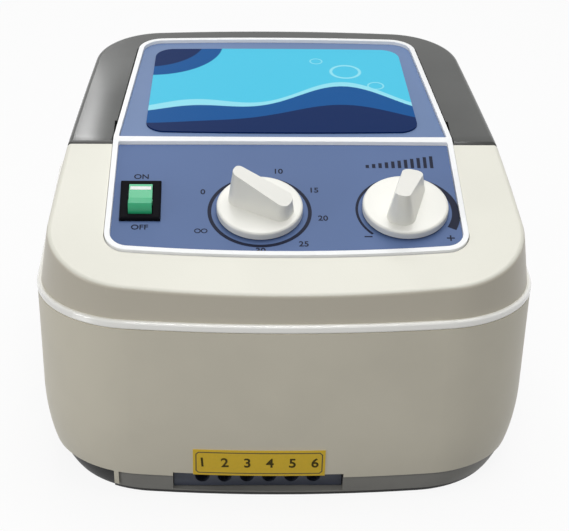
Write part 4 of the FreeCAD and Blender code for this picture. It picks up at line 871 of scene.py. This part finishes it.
def band(mesh: Mesh, inner: Sequence[Point], outer: Sequence[Point], thick: float = INK_THICK) -> None:
    """Draws a flat band between two open or closed rows of points.

    Args:
        mesh: the mesh in hand.
        inner: points along one edge.
        outer: as many points along the other edge.
        thick: height of the band above zero.
    """
    rows = [[mesh.verts.new((x, y, z)) for x, y in row] for z in (0.0, thick) for row in (inner, outer)]
    low_in, low_out, high_in, high_out = rows
    for i in range(len(inner) - 1):
        j = i + 1
        for a, b in ((high_in, high_out), (low_out, low_in), (low_in, high_in), (high_out, low_out)):
            mesh.faces.new((a[i], a[j], b[j], b[i]))
    for i in (0, -1):
        mesh.faces.new((low_in[i], high_in[i], high_out[i], low_out[i]))
    bmesh.ops.remove_doubles(mesh, verts=mesh.verts, dist=1e-5)


def bar(mesh: Mesh, x: Point, y: Point, thick: float = INK_THICK) -> None:
    """Draws a flat bar.

    Args:
        mesh: the mesh in hand.
        x: its left and right ends.
        y: its lower and upper ends.
        thick: its height above zero.
    """
    band(mesh, [(x[0], y[0]), (x[1], y[0])], [(x[0], y[1]), (x[1], y[1])], thick)


def polar(radius: float, degrees: float) -> Point:
    """Point at a distance and an angle from the middle."""
    return radius * math.cos(math.radians(degrees)), radius * math.sin(math.radians(degrees))


def arc(radius: float, start: float = 0.0, end: float = 360.0, count: int = 97) -> list[Point]:
    """Points along an arc.

    Args:
        radius: its radius.
        start: first angle in degrees.
        end: last angle in degrees.
        count: number of points.

    Returns:
        The points.
    """
    return [polar(radius, start + (end - start) * i / (count - 1)) for i in range(count)]


# ---------------------------------------------------------------- sub-assemblies
@dataclass
class SubAssembly:
    """Part of the pump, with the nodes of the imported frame."""

    nodes: Nodes

    def build(self) -> None:
        """Dresses the nodes and adds the pieces."""
        raise NotImplementedError

    def dress(self, finish: Finish, *names: str) -> None:
        """Gives nodes of the frame one finish.

        Args:
            finish: the finish.
            names: the nodes' names.
        """
        for name in names:
            node = self.nodes[name]
            if not node.material_slots:
                node.data.materials.append(finish.ready())
            for slot in node.material_slots:
                slot.material = finish.ready()
            log.info("node %s in %s", name, finish.name)


class Casing(SubAssembly):
    """Cream case, dark base, feet and long screws."""

    def build(self) -> None:
        """Gives the case its finishes."""
        self.dress(CREAM, "upper_cover")
        self.dress(WARM_CREAM, "lower_housing")
        self.dress(BASE_GREY, "base_plate")
        self.dress(BLACK_RUBBER, "rubber_feet")
        self.dress(ZINC, "case_screws")


class CarryHandle(SubAssembly):
    """Folding handle with its pins."""

    def build(self) -> None:
        """Gives the handle its finishes."""
        self.dress(HANDLE_GREY, "carry_handle")
        self.dress(BRIGHT_STEEL, "handle_pins")


class ControlPanel(SubAssembly):
    """Frame, overlays and the display plate with its wave print."""

    def build(self) -> None:
        """Gives the panel its finishes."""
        self.dress(RIM_WHITE, "panel_frame")
        self.dress(BLUE_FILM, "control_overlay")
        self.dress(PALE_FILM, "display_overlay")
        self.dress(WAVE_PRINT, "display_plate")


@dataclass
class Dial(SubAssembly):
    """One knob with its shaft, nut and printed marks."""

    name: str
    knob: str
    shaft: str
    nut: str
    x: float
    s: float

    def build(self) -> None:
        """Gives the knob its finishes and prints its marks."""
        self.dress(KNOB_IVORY, self.knob)
        self.dress(BRIGHT_STEEL, self.shaft)
        self.dress(BRASS, self.nut)
        self.print_marks()

    def print_marks(self) -> None:
        """Prints what stands round the knob."""
        raise NotImplementedError

    def mark(self, label: str, x: float = 0.0, s: float = 0.0) -> Piece:
        """A printed piece near the knob.

        Args:
            label: what the piece is called after the dial's name.
            x: across from the knob's centre, in millimetres.
            s: up the slope from the knob's centre, in millimetres.

        Returns:
            The piece, ready to be drawn.
        """
        matrix = panel_matrix(self.x + x, self.s + s)
        return Piece(f"{self.name}_{label}", Body.HOUSING, "blue_overlay", NAVY_INK, matrix)


@dataclass
class TimerDial(Dial):
    """Timer with a full ring, its minutes and a run-on mark."""

    name: str = "timer"
    knob: str = "timer_knob"
    shaft: str = "timer_shaft"
    nut: str = "timer_nut"
    x: float = -9.9
    s: float = 44.2
    figures: tuple[tuple[str, float, float], ...] = (
        ("0", 24.0, 153.0), ("5", 24.0, 112.0), ("10", 24.0, 72.0), ("15", 24.0, 30.0), ("20", 24.0, -9.0),
        ("25", 24.0, -48.0), ("30", 21.4, -90.0))
    figure_size: float = 2.7
    ring_inner: float = 18.2
    ring_outer: float = 19.6
    run_on_radius: float = 24.5
    run_on_angle: float = 206.0
    loop_size: float = 1.25
    loop_line: float = 0.42
    loop_points: int = 25

    def print_marks(self) -> None:
        """Prints the ring, the minutes and the run-on mark."""
        self.mark("ring").build(lambda mesh: band(mesh, arc(self.ring_inner), arc(self.ring_outer)))
        for words, radius, angle in self.figures:
            self.mark(f"figure_{words}", *polar(radius, angle)).write(words, self.figure_size)
        self.mark("run_on", *polar(self.run_on_radius, self.run_on_angle)).build(self.draw_loop)

    def draw_loop(self, mesh: Mesh) -> None:
        """Draws two linked rings, for running without end.

        Args:
            mesh: the mesh in hand.
        """
        for side in (-self.loop_size, self.loop_size):
            inner, outer = ([(x + side, y) for x, y in arc(radius, count=self.loop_points)]
                            for radius in (self.loop_size - self.loop_line, self.loop_size))
            band(mesh, inner, outer)


@dataclass
class PressureDial(Dial):
    """Pressure control with a growing crescent, signs and a row of bars."""

    name: str = "pressure"
    knob: str = "pressure_knob"
    shaft: str = "regulator_spindle"
    nut: str = "regulator_nut"
    x: float = 44.9
    s: float = 44.8
    low_angle: float = 225.0
    high_angle: float = -30.0
    crescent_inner: float = 17.7
    crescent_points: int = 90
    thin: float = 0.95
    thick: float = 3.6
    growth: float = 2.4
    less_place: Point = (-14.6, -14.3)
    more_place: Point = (16.0, -15.0)
    sign_half: float = 1.5
    sign_line: float = 0.3
    bars_place: Point = (-0.9, 28.0)
    bar_count: int = 11
    bar_pitch: float = 2.5
    bar_wide: float = 1.3
    bar_high: float = 7.0
    bar_least: float = 0.25

    def print_marks(self) -> None:
        """Prints the crescent, the signs and the bars."""
        self.mark("crescent").build(self.draw_crescent)
        self.mark("less", *self.less_place).build(self.draw_minus)
        self.mark("more", *self.more_place).build(self.draw_plus)
        self.mark("bars", *self.bars_place).build(self.draw_bars)

    def draw_crescent(self, mesh: Mesh) -> None:
        """Draws the scale that grows thicker clockwise.

        Args:
            mesh: the mesh in hand.
        """
        inner = arc(self.crescent_inner, self.low_angle, self.high_angle, self.crescent_points)
        outer = []
        for i, (x, y) in enumerate(inner):
            share = (i / (self.crescent_points - 1)) ** self.growth
            reach = 1 + (self.thin + (self.thick - self.thin) * share) / self.crescent_inner
            outer.append((x * reach, y * reach))
        band(mesh, inner, outer)

    def draw_minus(self, mesh: Mesh) -> None:
        """Draws the sign's level bar."""
        bar(mesh, (-self.sign_half, self.sign_half), (-self.sign_line, self.sign_line))

    def draw_plus(self, mesh: Mesh) -> None:
        """Draws a level bar with a half bar over it and one under it.

        Args:
            mesh: the mesh in hand.
        """
        self.draw_minus(mesh)
        bar(mesh, (-self.sign_line, self.sign_line), (self.sign_line, self.sign_half))
        bar(mesh, (-self.sign_line, self.sign_line), (-self.sign_half, -self.sign_line))

    def draw_bars(self, mesh: Mesh) -> None:
        """Draws the row of bars that grow to the right.

        Args:
            mesh: the mesh in hand.
        """
        last = self.bar_count - 1
        low = -self.bar_high / 2
        for i in range(self.bar_count):
            x = (i - last / 2) * self.bar_pitch
            high = self.bar_high * (self.bar_least + (1 - self.bar_least) * i / last)
            bar(mesh, (x, x + self.bar_wide), (low, low + high))


@dataclass
class PowerSwitch(SubAssembly):
    """Lit rocker in a black bezel, with its words and a painted highlight bar on the rocker."""

    x: float = -54.7
    s: float = 49.5
    word_rise: float = 14.2
    word_size: float = 2.6
    face: float = 1.7
    # painted highlight bar near the rocker's upper edge: how far up it sits, its half size and its thickness
    highlight_rise: float = 5.4
    sign_half: Point = (3.9, 0.9)
    highlight_thick: float = 0.05

    def build(self) -> None:
        """Gives the switch its finishes, prints the words on the panel and paints a highlight bar on the
        rocker.
        """
        self.dress(BLACK_CASE, "switch_housing")
        self.dress(BRASS, "switch_terminals")
        self.dress(GREEN_LENS, "switch_rocker")
        for words, rise in (("ON", self.word_rise), ("OFF", -self.word_rise)):
            name = f"switch_word_{words.lower()}"
            piece = Piece(name, Body.HOUSING, "blue_overlay", NAVY_INK, panel_matrix(self.x, self.s + rise))
            piece.write(words, self.word_size)
        # painted highlight: a white bar across the rocker near its upper edge
        place = panel_matrix(self.x, self.s + self.highlight_rise, self.face)
        wide, high = self.sign_half
        sign = Piece("rocker_highlight_bar", Body.ROCKER, "green_lens", HIGHLIGHT_INK, place)
        sign.build(lambda mesh: bar(mesh, (-wide, wide), (-high, high), self.highlight_thick))


@dataclass
class Outlets(SubAssembly):
    """Row of air outlets with the strip label above them."""

    label_x: Point = (-35.1, 15.1)
    label_z: Point = (11.4, 23.4)
    first_x: float = -31.6
    pitch: float = 8.56
    count: int = 6
    figure_z: float = 17.4
    figure_size: float = 4.2
    figure_thick: float = 0.08
    ahead_y: float = -200.0

    def build(self) -> None:
        """Gives the outlets and the label their finishes and prints one number over each outlet."""
        self.dress(PORT_BLUE, "outlet_block")
        middle, half = (tuple((high + side * low) / 2 * MM for low, high in (self.label_x, self.label_z))
                        for side in (1, -1))
        self.dress(StripPrint("strip_print", LABEL_YELLOW, LABEL_INK.colour, middle, half), "strip_label")
        for i in range(self.count):
            matrix = self.front_place(self.first_x + i * self.pitch, self.figure_z)
            piece = Piece(f"outlet_figure_{i + 1}", Body.HOUSING, "yellow_label", LABEL_INK, matrix)
            piece.write(str(i + 1), self.figure_size, self.figure_thick)

    def front_place(self, x: float, z: float) -> Matrix:
        """Place on the label's face at a point of the front.

        Args:
            x: across, in millimetres.
            z: height, in millimetres.

        Returns:
            The matrix of that place, in metres.
        """
        start = Vector((x, self.ahead_y, z)) * MM
        hit, place, normal, _ = self.nodes["strip_label"].ray_cast(start, Vector((0, 1, 0)))
        if not hit:
            raise RuntimeError("the label has no face in front of a figure")
        turn = Vector((0, 0, 1)).rotation_difference(normal).to_matrix().to_4x4()
        up = Matrix.Rotation(math.pi, 4, "Z") if (turn @ Vector((0, 1, 0))).z < 0 else Matrix()
        return Matrix.Translation(place) @ turn @ up


class Insides(SubAssembly):
    """Everything inside the case and in the rear wall."""

    def build(self) -> None:
        """Gives the inner nodes their finishes."""
        self.dress(ZINC, "timer_body", "distributor_motor", "motor_screws", "pump_chassis", "pump_screws",
                   "pump_armature")
        self.dress(BRASS, "regulator_plunger", "inlet_blades")
        self.dress(BRIGHT_STEEL, "regulator_spring", "motor_shaft")
        self.dress(WHITE_NYLON, "regulator_body", "distributor_manifold", "distributor_lid",
                   "three_way_fitting", "terminal_block")
        self.dress(BLACK_CASE, "distributor_rotor", "pump_heads", "mains_inlet", "fuse_holder")
        self.dress(PORT_BLUE, "outlet_nipples")
        self.dress(CLEAR_HOSE, "port_tubes", "pump_tubes", "supply_tube", "regulator_tube")
        self.dress(BLACK_RUBBER, "pump_isolators", "pump_diaphragms")
        self.dress(BROWN_LEAD, "inlet_leads", "switch_leads", "motor_leads")
        self.dress(CORE_LAYERS, "pump_cores")
        self.dress(COIL_WIRE, "pump_coils")
        self.dress(FILTER_FELT, "intake_filter")
        self.dress(FUSE_GLASS, "fuse")


@dataclass
class RegulatorSpring(SubAssembly):
    """Coil spring on the panel's normal through the pressure knob, fixed in place."""

    x: float
    s: float
    seat: float = -32.5
    top: float = -19.0
    radius: float = 6.0
    wire: float = 0.6
    turns: int = 5
    steps: int = 28
    sides: int = 10

    def build(self) -> None:
        """Makes the spring and takes the plain one out of sight."""
        place = panel_matrix(self.x, self.s, 0.0)
        ends = tuple(place @ Vector((0.0, 0.0, end * MM)) for end in (self.seat, self.top))
        piece = Piece("regulator_coil", Body.HOUSING, "steel", BRIGHT_STEEL, place, Body.PLUNGER, ends)
        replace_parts(piece.build(self.draw), "regulator_spring")

    def draw(self, mesh: Mesh) -> None:
        """Draws the wire along its turns.

        Args:
            mesh: the mesh in hand.
        """
        count = self.turns * self.steps
        start = self.seat + self.wire
        rise = (self.top - self.wire - start) / count
        rings = [self.ring(mesh, 360.0 * i / self.steps, start + rise * i) for i in range(count + 1)]
        for low, high in zip(rings, rings[1:]):
            for k in range(self.sides):
                after = (k + 1) % self.sides
                mesh.faces.new((low[k], low[after], high[after], high[k]))
        mesh.faces.new(rings[0])
        mesh.faces.new(rings[-1])

    def ring(self, mesh: Mesh, angle: float, height: float) -> list[bmesh.types.BMVert]:
        """Draws one section of the wire.

        Args:
            mesh: the mesh in hand.
            angle: how far round the coil it stands, in degrees.
            height: the wire's middle above the panel, in millimetres.

        Returns:
            The section's corners.
        """
        corners = []
        for k in range(self.sides):
            out, up = polar(self.wire, 360.0 * k / self.sides)
            corners.append(mesh.verts.new((*polar(self.radius + out, angle), height + up)))
        return corners


# ---------------------------------------------------------------- studio
@dataclass(frozen=True)
class Lamp:
    """Rectangular lamp: its place and size in metres and its power in watts."""

    name: str
    place: tuple[float, float, float]
    power: float
    size: Point

    def build(self, target: Vector) -> None:
        """Adds the lamp.

        Args:
            target: where it points.
        """
        data = bpy.data.lights.new(self.name, "AREA")
        data.shape = "RECTANGLE"
        data.energy = self.power
        data.size, data.size_y = self.size
        lamp = bpy.data.objects.new(self.name, data)
        lamp.location = self.place
        lamp.rotation_euler = (target - lamp.location).to_track_quat("-Z", "Y").to_euler()
        bpy.context.scene.collection.objects.link(lamp)


@dataclass
class Studio:
    """Floor, world, lamps and camera."""

    camera_place: tuple[float, float, float] = (-0.02552, -0.65505, 0.36927)
    camera_pitch: float = 28.707
    camera_yaw: float = 2.231
    camera_roll: float = 1.037
    camera_shift: Point = (0.0116, 0.1723)
    camera_range: Point = (0.05, 50.0)
    focal_pixels: float = 1749.4
    image_wide: float = 569.0
    sensor: float = 36.0
    white: Colour = (1.0, 1.0, 1.0)
    world_tint: Colour = (0.98, 0.98, 1.0)
    world_strength: float = 0.3
    floor_half: float = 6.0
    floor_pale: float = 0.9
    floor_bounce: float = 0.3
    floor_glow: float = 0.9
    lamp_target: tuple[float, float, float] = (0.0, 0.0, 0.08)
    lamps: tuple[Lamp, ...] = (
        Lamp("key_lamp", (0.12, 0.1, 1.1), 5.5, (0.8, 0.7)),
        Lamp("front_softbox", (-0.1, -0.95, 1.05), 3.2, (0.6, 0.12)),
        Lamp("left_fill", (-1.1, -0.6, 0.35), 2.8, (0.4, 0.5)),
        Lamp("right_fill", (1.1, -0.3, 0.5), 0.3, (0.5, 0.6)),
        Lamp("strip", (-0.19, 0.89, 0.8), 0.75, (0.08, 0.25)),
        Lamp("rear_line", (-0.16, 0.53, 1.08), 0.5, (0.3, 0.05)))

    def build(self) -> None:
        """Makes the whole studio."""
        bpy.context.scene.view_settings.view_transform = "Standard"
        self.make_world()
        self.make_floor()
        for lamp in self.lamps:
            lamp.build(Vector(self.lamp_target))
        self.make_camera()
        log.info("studio built")

    @staticmethod
    def shown(graph: Graph) -> Value:
        """Mask of the rays that show the background.

        Args:
            graph: the graph in hand.

        Returns:
            The mask.
        """
        path = graph.node("ShaderNodeLightPath", {}, {})
        through = graph.maths("MAXIMUM", path.outputs["Is Glossy Ray"], path.outputs["Is Transmission Ray"])
        return graph.maths("MAXIMUM", path.outputs["Is Camera Ray"], through)

    def make_world(self) -> None:
        """White for the camera, for reflections and through glass, a soft fill for the rest."""
        world = bpy.data.worlds.new("studio_world")
        bpy.context.scene.world = world
        graph = Graph(world)
        soft = {"Color": self.world_tint, "Strength": self.world_strength}
        fill = graph.node("ShaderNodeBackground", {}, soft)
        plain = graph.node("ShaderNodeBackground", {}, {"Color": self.white, "Strength": 1.0})
        mix = graph.mixed(self.shown(graph), fill, plain)
        graph.node("ShaderNodeOutputWorld", {}, {"Surface": mix.outputs[0]})

    def make_floor(self) -> None:
        """Large pale floor that keeps a soft shadow."""
        mesh = bmesh.new()
        bmesh.ops.create_grid(mesh, x_segments=1, y_segments=1, size=self.floor_half)
        data = bpy.data.meshes.new("floor")
        mesh.to_mesh(data)
        mesh.free()
        data.materials.append(self.floor_material())
        floor = bpy.data.objects.new("floor", data)
        bpy.context.scene.collection.objects.link(floor)

    def floor_material(self) -> bpy.types.Material:
        """Nearly white where it is seen, duller where it lights the pump from below.

        Returns:
            The material.
        """
        graph = Graph.material("floor_white")
        grain = graph.noise(graph.point(), 3.0)
        bounce = graph.blend(grain, (self.floor_bounce,) * 3, (self.floor_bounce * 0.96,) * 3)
        pale = graph.blend(grain, (self.floor_pale,) * 3, (self.floor_pale - 0.02,) * 3)
        unseen = graph.node("ShaderNodeBsdfDiffuse", {}, {"Color": bounce})
        matt = graph.node("ShaderNodeBsdfDiffuse", {}, {"Color": pale})
        glow = graph.node("ShaderNodeEmission", {}, {"Color": self.white, "Strength": 1.0})
        mix = graph.mixed(self.shown(graph), unseen, graph.mixed(self.floor_glow, matt, glow))
        graph.node("ShaderNodeOutputMaterial", {}, {"Surface": mix.outputs[0]})
        return graph.owner

    def make_camera(self) -> None:
        """Camera in front of the pump, looking down."""
        data = bpy.data.cameras.new("camera")
        data.sensor_width = self.sensor
        data.lens = self.focal_pixels * self.sensor / self.image_wide
        data.shift_x, data.shift_y = self.camera_shift
        data.clip_start, data.clip_end = self.camera_range
        camera = bpy.data.objects.new("camera", data)
        turn = Matrix.Rotation(-math.radians(self.camera_yaw), 4, "Z")
        tilt = Matrix.Rotation(math.radians(90.0 - self.camera_pitch), 4, "X")
        roll = Matrix.Rotation(math.radians(self.camera_roll), 4, "Z")
        camera.matrix_world = Matrix.Translation(self.camera_place) @ turn @ tilt @ roll
        bpy.context.scene.collection.objects.link(camera)
        bpy.context.scene.camera = camera


def main() -> None:
    """Builds the pump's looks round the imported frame."""
    logging.basicConfig(level=logging.INFO, format="%(message)s")
    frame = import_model()
    Studio().build()
    nodes = frame["nodes"]
    pressure = PressureDial(nodes)
    for assembly in (Casing(nodes), CarryHandle(nodes), ControlPanel(nodes), TimerDial(nodes), pressure,
                     PowerSwitch(nodes), Outlets(nodes), Insides(nodes),
                     RegulatorSpring(nodes, pressure.x, pressure.s)):
        assembly.build()
        log.info("%s built", type(assembly).__name__)


if __name__ == "__main__":
    main()
